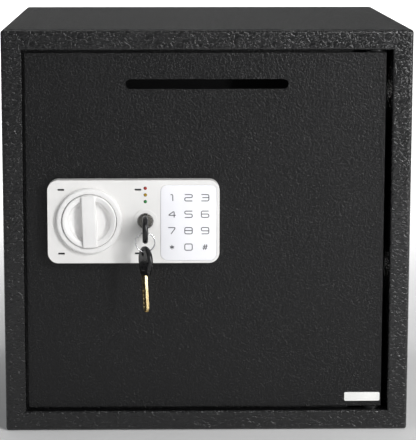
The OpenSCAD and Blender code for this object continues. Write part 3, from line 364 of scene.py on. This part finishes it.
# Points (x, z) of a rectangle with round corners: each corner is a quarter circle about its own centre
def roundedOutline(width, height, radius, steps):
    rings = []
    for k, (sx, sz) in enumerate([(1, 1), (-1, 1), (-1, -1), (1, -1)]):
        a = quarterTurn(steps) + k * np.pi / 2
        rings.append(np.stack([sx * (width / 2 - radius) + radius * np.cos(a),
                               sz * (height / 2 - radius) + radius * np.sin(a)], -1))
    return np.concatenate(rings)


# A rounded rectangle drawn in by inset d at depth y for each (d, y) of a profile, so that width, height and
# corner radius all shrink together; closed by its two ends
def stackedPad(centre, size, profile, steps):
    width, height, radius = size
    least = shaping["leastCorner"]
    flat = np.stack([roundedOutline(width - 2 * d, height - 2 * d, max(radius - d, least), steps)
                     for d, _ in profile])
    count = flat.shape[1]
    y = np.repeat(np.array([depth for _, depth in profile])[:, None], count, 1)
    points = np.stack([centre[0] + flat[..., 0], y, centre[1] + flat[..., 1]], -1)
    return points, gridFaces(len(profile), count), endRings(len(profile), count)


# Quarter circle from (0, y) to (radius, y - radius), as (inset, y) points
def roundedEdge(y, radius, steps):
    return [(radius * (1 - math.cos(t)), y - radius * math.sin(t)) for t in quarterTurn(steps)]


# A line of even width along a flat path of (x, z): each point is pushed along the half-angle normal by half
# the width over the cosine of half the turn, and the ribbon stands thick in front of depthY
def stroke(path, width, depthY, thick, closed):
    before, after = np.roll(path, 1, 0), np.roll(path, -1, 0)
    if not closed:
        before[0] = 2 * path[0] - path[1]
        after[-1] = 2 * path[-1] - path[-2]
    inward = (path - before) / np.linalg.norm(path - before, axis=1)[:, None]
    outward = (after - path) / np.linalg.norm(after - path, axis=1)[:, None]
    along = inward + outward
    along /= np.linalg.norm(along, axis=1)[:, None]
    side = np.stack([-along[:, 1], along[:, 0]], -1)
    reach = width / 2 / np.clip(np.sum(inward * along, 1), shaping["leastMitre"], 1)[:, None]
    left, right = path + side * reach, path - side * reach
    section = [(left, 0), (left, -thick), (right, -thick), (right, 0)]
    points = np.stack([np.stack([p[:, 0], np.full(len(p), depthY + y), p[:, 1]], -1) for p, y in section], 1)
    caps = [] if closed else endRings(len(path), len(section))
    return points, gridFaces(len(path), len(section), closedRows=closed), caps


# Each corner of a line replaced by a quadratic curve that starts and ends radius away from the corner
def roundedPath(points, radius, closed):
    count = len(points)
    t = np.linspace(0, 1, shaping["cornerSteps"])[:, None]
    out = []
    for k, corner in enumerate(points):
        if not closed and k in (0, count - 1):
            out.append(corner)
            continue
        legs = (points[k - 1] - corner, points[(k + 1) % count] - corner)
        start, end = [corner + leg * min(radius / np.linalg.norm(leg), shaping["mostOfLeg"]) for leg in legs]
        out.extend((1 - t) ** 2 * start + 2 * t * (1 - t) * corner + t ** 2 * end)
    return np.array(out)


# Several (points, quads, caps) as one set, with point numbers moved up for each part
def joined(parts):
    points, quads, caps, start = [], [], [], 0
    for partPoints, partQuads, partCaps in parts:
        flat = partPoints.reshape(-1, 3)
        points.append(flat)
        quads.append(partQuads + start)
        caps += [[n + start for n in cap] for cap in partCaps]
        start += len(flat)
    return np.concatenate(points), np.concatenate(quads), caps


# Pieces, made at the origin

# A new object from points in millimetres; caps are rings of point numbers that close it
def meshPiece(name, points, quads, caps=(), smooth=True):
    mesh = bpy.data.meshes.new(name)
    mesh.from_pydata((np.asarray(points).reshape(-1, 3) * mm).tolist(), [],
                     [list(q) for q in quads] + [list(c) for c in caps])
    work = bmesh.new()
    work.from_mesh(mesh)
    bmesh.ops.remove_doubles(work, verts=work.verts, dist=shaping["weld"] * mm)
    bmesh.ops.delete(work, geom=[v for v in work.verts if not v.link_faces], context="VERTS")
    bmesh.ops.recalc_face_normals(work, faces=work.faces)
    work.to_mesh(mesh)
    work.free()
    if smooth:
        mesh.shade_smooth()
    piece = bpy.data.objects.new(name, mesh)
    bpy.context.scene.collection.objects.link(piece)
    return piece


# Gives a piece its material and its body and hides the nodes that it stands for; the slot is not used
def finishPiece(piece, material, body, slot, *replaced, sharpAt=None):
    if sharpAt is not None:
        piece.data.set_sharp_from_angle(angle=math.radians(sharpAt))
    coatIn(piece, material)
    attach(piece, body)
    if replaced:
        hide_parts(*replaced)


# A thin pad with round corners and a soft front edge, in place of a flat node
def padPiece(name, node, pad):
    low, high = corners(node)
    profile = [(0, high[1])] + roundedEdge(low[1] + pad["edge"], pad["edge"], 4)
    size = (high[0] - low[0], high[2] - low[2], pad["radius"])
    return meshPiece(name, *stackedPad(centreOf(node), size, profile, pad["steps"]))


softening = {"weld": 0.002, "flatDegrees": 0.6, "flatWeight": 80}


# A copy of a CAD mesh, merged and with flat faces joined, whose edges sharper than a number of degrees are
# rounded by edgeMm; rule(midpoint in mm) may return a smaller width for an edge. Without the clamp, edges
# that are cut finely keep their full width.
def softenedCopy(node, edgeMm, segments, sharperThan=35, rule=None, clamp=True):
    mesh = cadNodes[node].data.copy()
    mesh.name = node + "_finished"
    work = bmesh.new()
    work.from_mesh(mesh)
    bmesh.ops.remove_doubles(work, verts=work.verts, dist=softening["weld"] * mm)
    bmesh.ops.dissolve_limit(work, angle_limit=math.radians(softening["flatDegrees"]), verts=work.verts,
                             edges=work.edges)
    weights = work.edges.layers.float.new("bevel_weight_edge")
    for edge in work.edges:
        if len(edge.link_faces) == 2 and math.degrees(edge.calc_face_angle(0)) > sharperThan:
            midpoint = (edge.verts[0].co + edge.verts[1].co) / 2 / mm
            edge[weights] = min((rule(midpoint) if rule else edgeMm) / edgeMm, 1.0)
    work.to_mesh(mesh)
    work.free()
    mesh.shade_smooth()
    piece = bpy.data.objects.new(node + "_finished", mesh)
    bpy.context.scene.collection.objects.link(piece)
    bevel = piece.modifiers.new("rounded edges", "BEVEL")
    bevel.limit_method = "WEIGHT"
    bevel.width = edgeMm * mm
    bevel.segments = segments
    bevel.use_clamp_overlap = clamp
    bevel.miter_outer = "MITER_SHARP"
    flat = piece.modifiers.new("flat faces", "WEIGHTED_NORMAL")
    flat.mode = "FACE_AREA"
    flat.weight = softening["flatWeight"]
    flat.keep_sharp = True
    return piece


# Lock panel: housing, windows, bezel, knob and lights

housing = {"edge": 1.5, "holeEdge": 0.18, "nearEdge": 4.0}


# The moulded housing: a wide soft edge round its outline, small ones at its windows and holes
def buildHousing():
    low, high = corners("lock_housing")
    near = housing["nearEdge"]

    def edgeWidth(point):
        toSide = min(abs(point[0] - low[0]), abs(point[0] - high[0]))
        toEnd = min(abs(point[2] - low[2]), abs(point[2] - high[2]))
        onOutline = min(toSide, toEnd) < near and point[1] < low[1] + near
        return housing["edge"] if onOutline else housing["holeEdge"]

    piece = softenedCopy("lock_housing", housing["edge"], 4, rule=edgeWidth)
    finishPiece(piece, absWhite, "door", "white_abs", "lock_housing")


window = {"across": (11.6, 77.3), "up": (-27.6, 27.8), "wide": 5.5, "high": 1.6, "corner": 0.3, "face": 0.8,
          "floor": 1.95, "thick": 0.35, "edge": 0.1}


# Dark plates at the bottom of the four small windows: painted shade, a black sheet that makes the shallow
# pockets as dark as deep windows in shade
def buildWindowShades():
    left, middleZ = corners("lock_housing")[0][0], centreOf("lock_housing")[1]
    back = corners("lock_housing")[0][1] + window["face"] + window["floor"]
    front, edge = back - window["thick"], window["edge"]
    size = (window["wide"], window["high"], window["corner"])
    parts = [stackedPad((left + across, middleZ + up), size, [(0, back), (0, front + edge), (edge, front)], 4)
             for across in window["across"] for up in window["up"]]
    piece = meshPiece("window_shade_plates", *joined(parts))
    finishPiece(piece, absBlack, "door", "black_abs", sharpAt=40)


bezel = {"lip": 1.9, "inside": 0.5, "sleeve": 1.6, "face": 0.8, "play": 0.4, "sink": 0.02, "foot": 0.35,
         "footGap": 0.12, "footEdge": 0.05, "sides": 128}


# Ring round the knob: a turned profile with a soft shoulder and a fine undercut at its foot
def buildBezel():
    low, high = corners("knob_bezel")
    outer, inner = radiusOf("knob_bezel"), radiusOf("knob") + bezel["play"]
    front, back, lip, inside = low[1], high[1], bezel["lip"], bezel["inside"]
    face = corners("lock_housing")[0][1] + bezel["face"]
    sunk, gap = face - bezel["sink"], face - bezel["footGap"]
    sleeve, foot = inner + bezel["sleeve"], outer - bezel["foot"]
    profile = [(inner, back), (sleeve, back), (sleeve, sunk), (foot, sunk), (foot, gap),
               (outer, gap - bezel["footEdge"])]
    profile += [(outer - d, y) for d, y in roundedEdge(front + lip, lip, 8)]
    profile += [(inner + inside * (1 - math.sin(t)), front + inside * (1 - math.cos(t)))
                for t in quarterTurn(5)]
    piece = meshPiece("knob_bezel_ring", *turned(centreOf("knob_bezel"), profile + profile[:1], bezel["sides"]))
    finishPiece(piece, absKnob, "door", "white_abs", "knob_bezel", sharpAt=50)


# Depths are measured back from the front of the grip bar
dish = {"rim": 1.5, "floor": 7.5, "back": 10.0, "rimRound": 1.0, "bandWide": 4.8, "bandFall": 1.2,
        "bandFrom": 0.2, "bandPower": 1.6, "ledge": 0.25, "step": 0.5, "cove": 4.0, "sides": 128}


# The knob's turned dish: round rim, gently falling band, a step, and a quarter ellipse down to the floor,
# radius = inner - cove (1 - cos t), depth = top + (floor - top) sin t
def buildDish():
    front, radius, r, fall = corners("knob")[0][1], radiusOf("knob"), dish["rimRound"], dish["bandFall"]
    rim, floor, back = (front + dish[key] for key in ("rim", "floor", "back"))
    profile = [(shaping["axisGap"], back), (radius, back)]
    profile += [(radius - r + r * math.cos(t), rim + r - r * math.sin(t)) for t in quarterTurn(7)]
    profile += [(radius - r + (r - dish["bandWide"]) * t, rim + fall * t ** dish["bandPower"])
                for t in np.linspace(dish["bandFrom"], 1, 5)]
    inner, top = radius - dish["bandWide"] - dish["ledge"], rim + fall + dish["step"]
    profile += [(inner - dish["cove"] * (1 - math.cos(t)), top + (floor - top) * math.sin(t))
                for t in quarterTurn(12)]
    profile.append((shaping["axisGap"], floor))
    piece = meshPiece("knob_dish", *turned(centreOf("knob"), profile, dish["sides"]))
    finishPiece(piece, absKnob, "knob", "white_abs", "knob", sharpAt=38)


grip = {"wide": 12.0, "corner": 0.9, "edge": 0.8, "endGap": 0.25, "spread": 0.35, "sink": 0.6, "bentFrom": 0.6,
        "tilt": math.radians(-1.8)}


# The knob's bar: layers of a rounded rectangle, its ends bent to the rim's circle, wider towards the floor
def buildGrip():
    front, centre, edge = corners("knob")[0][1], centreOf("knob"), grip["edge"]
    reach = radiusOf("knob") - grip["endGap"]
    layers = [(-grip["spread"], front + dish["floor"] + grip["sink"]), (0.0, front + edge)]
    layers += roundedEdge(front + edge, edge, 6)
    points, quads, caps = stackedPad((0, 0), (grip["wide"], 2 * reach, grip["corner"]), layers, 8)
    across, depth, along = np.moveaxis(points, -1, 0)
    circle = np.sqrt(reach ** 2 - across ** 2) / reach
    share = np.maximum(np.abs(along) / reach - grip["bentFrom"], 0) / (1 - grip["bentFrom"])
    along = along * (1 - (1 - circle) * share)
    cos, sin = math.cos(grip["tilt"]), math.sin(grip["tilt"])
    x, z = across * cos + along * sin, along * cos - across * sin
    piece = meshPiece("knob_grip_bar", np.stack([centre[0] + x, depth, centre[1] + z], -1), quads, caps)
    finishPiece(piece, absKnob, "knob", "white_abs", "knob", sharpAt=40)


light = {"flange": 0.5, "dome": 0.7, "deep": 4.0, "sides": 32, "tip": 0.02}


# Lens of a light: a short drum with a domed front, left open by a small angle at its tip for the cap, and a
# flange behind the panel
def buildLight(node, material):
    low, high = corners(node)
    flange, dome, sides = radiusOf(node), light["dome"], light["sides"]
    r, back, step = flange - light["flange"], high[1], high[1] - light["deep"]
    profile = [(shaping["axisGap"], back), (flange, back), (flange, step), (r, step)]
    profile += [(r * math.cos(t), low[1] + dome - dome * math.sin(t))
                for t in np.linspace(0, math.pi / 2 - light["tip"], 9)]
    piece = meshPiece(node + "_lens", *turned(centreOf(node), profile, sides), endRings(len(profile), sides))
    finishPiece(piece, material, "door", node.replace("_light", "_lens"), node, sharpAt=40)


buildHousing()
buildWindowShades()
buildBezel()
buildDish()
buildGrip()
for node, lens in (("red_light", lensRed), ("amber_light", lensAmber), ("green_light", lensGreen)):
    buildLight(node, lens)
print("lock panel made")


# Keypad: film overlay with the digits of a plain square alphabet

film = {"radius": 6.0, "edge": 0.45, "steps": 14}
ink = {"pitchAcross": 14.2, "pitchUp": 14.3, "rise": 0.3, "wide": 6.4, "high": 5.5, "line": 0.72,
       "corner": 1.5, "thick": 0.06}

digitLines = {  # centre lines on a square from -0.5 to 0.5; the flag closes the line
    "1": [([(-0.18, 0.5), (0.12, 0.5), (0.12, -0.5)], False)],
    "2": [([(-0.5, 0.5), (0.5, 0.5), (0.5, 0.03), (-0.5, 0.03), (-0.5, -0.5), (0.5, -0.5)], False)],
    "3": [([(-0.5, 0.5), (0.5, 0.5), (0.5, -0.5), (-0.5, -0.5)], False),
          ([(-0.36, 0.02), (0.5, 0.02)], False)],
    "4": [([(0.3, -0.5), (0.3, 0.5), (-0.5, -0.16), (0.5, -0.16)], False)],
    "5": [([(0.5, 0.5), (-0.5, 0.5), (-0.5, 0.03), (0.5, 0.03), (0.5, -0.5), (-0.5, -0.5)], False)],
    "6": [([(0.46, 0.5), (-0.5, 0.5), (-0.5, -0.5), (0.5, -0.5), (0.5, 0.03), (-0.5, 0.03)], False)],
    "7": [([(-0.5, 0.5), (0.5, 0.5), (-0.12, -0.5)], False)],
    "8": [([(-0.5, 0.5), (0.5, 0.5), (0.5, -0.5), (-0.5, -0.5)], True), ([(-0.5, 0.02), (0.5, 0.02)], False)],
    "9": [([(0.5, -0.03), (-0.5, -0.03), (-0.5, 0.5), (0.5, 0.5), (0.5, -0.5), (-0.46, -0.5)], False)],
    "*": [([(-0.28, -0.16), (0.28, 0.16)], False), ([(-0.28, 0.16), (0.28, -0.16)], False),
          ([(0, 0.34), (0, -0.34)], False)],
    "0": [([(-0.5, 0.5), (0.5, 0.5), (0.5, -0.5), (-0.5, -0.5)], True)],
    "#": [([(-0.02, 0.42), (-0.2, -0.42)], False), ([(0.24, 0.42), (0.06, -0.42)], False),
          ([(-0.28, 0.14), (0.32, 0.14)], False), ([(-0.34, -0.16), (0.26, -0.16)], False)],
}
digitOrder = "123456789*0#"


# The film is a pad; each digit's lines are ribbons of ink that lie on its face, three digits to a row
def buildKeypad():
    piece = padPiece("keypad_film", "keypad_overlay", film)
    finishPiece(piece, filmOverlay, "door", "overlay_film", "keypad_overlay", sharpAt=50)
    face, centre = corners("keypad_overlay")[0][1], centreOf("keypad_overlay")
    scale = np.array([ink["wide"], ink["high"]])
    parts = []
    for k, digit in enumerate(digitOrder):
        column, row = k % 3 - 1, 1.5 - k // 3
        place = centre + np.array([column * ink["pitchAcross"], row * ink["pitchUp"] + ink["rise"]])
        for line, closed in digitLines[digit]:
            path = roundedPath([place + np.array(point) * scale for point in line], ink["corner"], closed)
            parts.append(stroke(path, ink["line"], face, ink["thick"], closed))
    piece = meshPiece("keypad_digits", *joined(parts), smooth=False)
    finishPiece(piece, digitInk, "door", "overlay_film")


buildKeypad()
print("keypad made")


# Override lock and keys

lockEdges = {"cylinder": 0.45, "plug": 0.2}


# Chromed cylinder with a chamfered front, and the plug, softened copies of their solids
def buildLock():
    cylinder = softenedCopy("lock_cylinder", lockEdges["cylinder"], 3)
    finishPiece(cylinder, chromeLock, "door", "cylinder_chrome", "lock_cylinder")
    plug = softenedCopy("cylinder_plug", lockEdges["plug"], 2)
    finishPiece(plug, chromePlug, "lock_plug", "cylinder_chrome", "cylinder_plug")


keyEdges = {"bow": 2.2, "hole": 0.3, "end": 0.3, "endDeep": 0.5, "blade": 0.25, "inside": 10.6, "slot": 1.8}


# A moulded bow with full round edges, small ones at its eye, oval and end, none in the slot that holds the
# blade; and the blade with its milled edges broken. The blade's own points give the key's directions.
def buildKey(bow, blade, body):
    centre = middle(bow)
    along, _, side = np.linalg.svd(nodePoints(blade) - middle(blade), full_matrices=False)[2]
    along = along * np.sign(along @ (middle(blade) - centre))
    end = ((nodePoints(bow) - centre) @ along).max() - keyEdges["endDeep"]

    def edgeWidth(point):
        offset = np.array(point) - centre
        if abs(offset @ side) < keyEdges["slot"]:
            return 0
        if np.linalg.norm(offset) < keyEdges["inside"]:
            return keyEdges["hole"]
        return keyEdges["end"] if offset @ along > end else keyEdges["bow"]

    piece = softenedCopy(bow, keyEdges["bow"], 5, sharperThan=40, rule=edgeWidth, clamp=False)
    finishPiece(piece, keyPlastic, body, "key_plastic", bow)
    piece = softenedCopy(blade, keyEdges["blade"], 2, sharperThan=40)
    finishPiece(piece, keyBrass, body, "key_nickel_brass", blade)


buildLock()
buildKey("key_bow", "key_blade", "door_key")
buildKey("spare_bow", "spare_blade", "spare_key")
print("lock and keys made")


# Pressed and turned steel: copies of the solids with their edges broken as on the real pieces

frameEdges = {"bend": 2.6, "bendDeep": 0.1, "other": 0.5}


# The front frame: the sheet's own bend radius round the opening, small broken edges elsewhere
def buildFrame():
    face = corners("front_frame")[0][1]

    def edgeWidth(point):
        return frameEdges["bend" if abs(point[1] - face) < frameEdges["bendDeep"] else "other"]

    piece = softenedCopy("front_frame", frameEdges["bend"], 5, rule=edgeWidth)
    finishPiece(piece, coatFrame, "cabinet", "black_powder_coat", "front_frame")


softEdges = [  # node, edge in mm, material, body, slot
    ("door_plate", 0.7, coatDoor, "door", "door_powder_coat"),
    ("back_panel", 0.4, coatCabinet, "cabinet", "black_powder_coat"),
    ("inner_cover", 0.5, coatInside, "door", "cover_coat"),
    ("bolt_guide", 0.5, steelZinc, "door", "zinc_steel"),
    ("bolt_carrier", 0.4, steelZinc, "bolt_set", "zinc_steel"),
    ("upper_bolt", 1.0, steelBright, "bolt_set", "bright_steel"),
    ("lower_bolt", 1.0, steelBright, "bolt_set", "bright_steel"),
    ("battery_box", 0.5, absBlack, "door", "black_abs"),
    ("battery_lid", 0.4, absBlack, "lid", "black_abs"),
    ("reset_button", 0.6, buttonRed, "button", "red_button_plastic"),
]


buildFrame()
for node, edge, material, body, slot in softEdges:
    finishPiece(softenedCopy(node, edge, 3), material, body, slot, node)
print("edges broken on", len(softEdges) + 1, "pieces")


# Felt mat on the cabinet floor

mat = {"rows": 126, "columns": 168, "wave": 0.12, "waves": (9, 4, 11), "hole": 6.0, "holeAcross": 110.0,
       "holeDeep": 80.0, "pull": 0.7, "rim": 0.01}


# A sheet of felt: a flat grid whose height is moved by two long sine waves. Round each anchor hole the grid
# points within most of a cell of the circle are drawn onto it and the quads inside go. Then the sheet gets its
# thickness.
def buildMat():
    low, high = corners("floor_mat")
    u, v = np.meshgrid(np.linspace(0, 1, mat["columns"]), np.linspace(0, 1, mat["rows"]))
    x = low[0] + u * (high[0] - low[0])
    y = low[1] + v * (high[1] - low[1])
    cell = (high[0] - low[0]) / mat["columns"]
    hole = mat["hole"]
    inside = np.zeros(x.shape, bool)
    for centreX in (-mat["holeAcross"], mat["holeAcross"]):
        for centreY in (-mat["holeDeep"], mat["holeDeep"]):
            away = np.hypot(x - centreX, y - centreY)
            share = np.where(np.abs(away - hole) < cell * mat["pull"], hole / np.maximum(away, cell), 1)
            x, y = centreX + (x - centreX) * share, centreY + (y - centreY) * share
            inside |= np.hypot(x - centreX, y - centreY) < hole - mat["rim"]
    across, slant, deep = mat["waves"]
    z = high[2] - mat["wave"] * (1 + np.sin(u * across + v * slant) * np.sin(v * deep))
    quads = gridFaces(mat["rows"], mat["columns"], closedColumns=False)
    quads = quads[~inside.ravel()[quads].any(1)]
    piece = meshPiece("felt_mat", np.stack([x, y, z], -1), quads)
    if piece.data.polygons[0].normal.z < 0:
        piece.data.flip_normals()
    thick = piece.modifiers.new("felt thickness", "SOLIDIFY")
    thick.thickness = (high[2] - low[2] - 2 * mat["wave"]) * mm
    thick.offset = -1.0
    finishPiece(piece, matFelt, "cabinet", "felt_mat", "floor_mat")


buildMat()
print("mat laid")


# Blank sticker at the foot of the door

sticker = {"radius": 1.2, "edge": 0.1, "steps": 8}

label = padPiece("blank_label", "blank_sticker", sticker)
finishPiece(label, stickerPaper, "door", "sticker_paper", "blank_sticker", sharpAt=50)
print("sticker made")


# Camera, lights and floor

# The angles are radians, the far end of the view is in metres and the shifts are shares of the picture
camera = {"place": (-40.9, -1650.0, 465.2), "yaw": 0.0147, "pitch": 0.1535, "lens": 145.5, "sensor": 36.0,
          "shiftX": 0.052, "shiftY": -0.1214, "farEnd": 50.0}


# The camera stands left of the middle and above the safe, looks down, and its picture is shifted back
def setCamera():
    data = bpy.data.cameras.new("camera")
    data.lens = camera["lens"]
    data.sensor_width = camera["sensor"]
    data.shift_x = camera["shiftX"]
    data.shift_y = camera["shiftY"]
    data.clip_end = camera["farEnd"]
    item = bpy.data.objects.new("camera", data)
    item.location = Vector(camera["place"]) * mm
    item.rotation_euler = (math.pi / 2 - camera["pitch"], 0, -camera["yaw"])
    bpy.context.scene.collection.objects.link(item)
    bpy.context.scene.camera = item


lights = [  # name, place in metres, aim in metres, width, height, watts, colour
    ("key softbox", (0.85, -1.3, 1.1), (0.1, -0.15, 0.25), 0.8, 0.22, 10, "#ffffff"),
    ("edge softbox", (1.05, -1.35, 0.62), (0.0, -0.15, 0.3), 0.12, 0.8, 12.5, "#ffffff"),
    ("side softbox", (1.9, -0.95, 0.5), (0.1, -0.15, 0.2), 0.5, 0.7, 7, "#ffffff"),
    ("fill softbox", (-1.2, -1.7, 0.95), (0, -0.15, 0.15), 1.3, 1.3, 3.2, "#fbfcff"),
    ("top softbox", (0.0, 0.1, 1.5), (0, 0, 0.35), 1.2, 1.0, 3.5, "#ffffff"),
    ("background light", (0.0, 1.0, 1.1), (0, 1.9, 0.1), 2.4, 0.4, 30, "#ffffff"),
    ("far background light", (0.0, 2.7, 1.5), (0, 3.7, 0.1), 2.8, 0.5, 60, "#ffffff"),
]
surround = {"colour": "#f4f5f6", "strength": 0.2}


# Soft boxes round the safe, two lights that whiten the sweep behind it, and an even surround
def setLights():
    for name, place, aim, width, height, watts, colour in lights:
        data = bpy.data.lights.new(name, "AREA")
        data.shape = "RECTANGLE"
        data.size, data.size_y = width, height
        data.energy = watts
        data.color = linearColour(colour)[:3]
        item = bpy.data.objects.new(name, data)
        item.location = place
        item.rotation_euler = (Vector(aim) - Vector(place)).to_track_quat("-Z", "Y").to_euler()
        bpy.context.scene.collection.objects.link(item)
    world = bpy.data.worlds.new("studio")
    bpy.context.scene.world = world
    world.use_nodes = True
    background = world.node_tree.nodes["Background"]
    background.inputs["Color"].default_value = linearColour(surround["colour"])
    background.inputs["Strength"].default_value = surround["strength"]


# Painted shade on the paper: it darkens from low to high between two heights in metres, because the safe's top
# mirrors it
sweep = {"reach": 5000.0, "back": 3200.0, "curve": 700.0, "rise": 3200.0, "rough": 0.75, "low": "#f4f4f4",
         "high": "#3c3c3c", "heights": (0.31, 0.7), "grainMm": 120.0, "grainShade": 0.97}


# Paper sweep: a flat floor that curves up into a wall behind, one profile carried sideways
def setFloor():
    reach, back, curve, rise = (sweep[key] for key in ("reach", "back", "curve", "rise"))
    bend = [(back + curve * math.sin(t), curve - curve * math.cos(t)) for t in quarterTurn(24)]
    side = np.array([(-reach, 0)] + bend + [(back + curve, rise)])
    points = np.stack([np.insert(side, 0, x, axis=1) for x in (-reach, reach)])
    piece = meshPiece("floor_sweep", points, gridFaces(2, len(side), closedColumns=False))
    material, tree, shader, place = startMaterial("matt paper sweep", Roughness=sweep["rough"])
    up = addNode(tree, "ShaderNodeSeparateXYZ", None, {"Vector": place}).outputs["Z"]
    # painted shade: the wall behind grows darker with height
    shade = rampOf(tree, up, linearColour(sweep["low"]), linearColour(sweep["high"]), *sweep["heights"])
    grain = rampOf(tree, noiseOf(tree, place, sweep["grainMm"], 2.0), sweep["grainShade"], 1.0)
    feedProduct(tree, shader, shade, grain)
    coatIn(piece, material)


setCamera()
setLights()
setFloor()
bpy.context.scene.view_settings.view_transform = "Standard"
print("camera, lights and floor set")
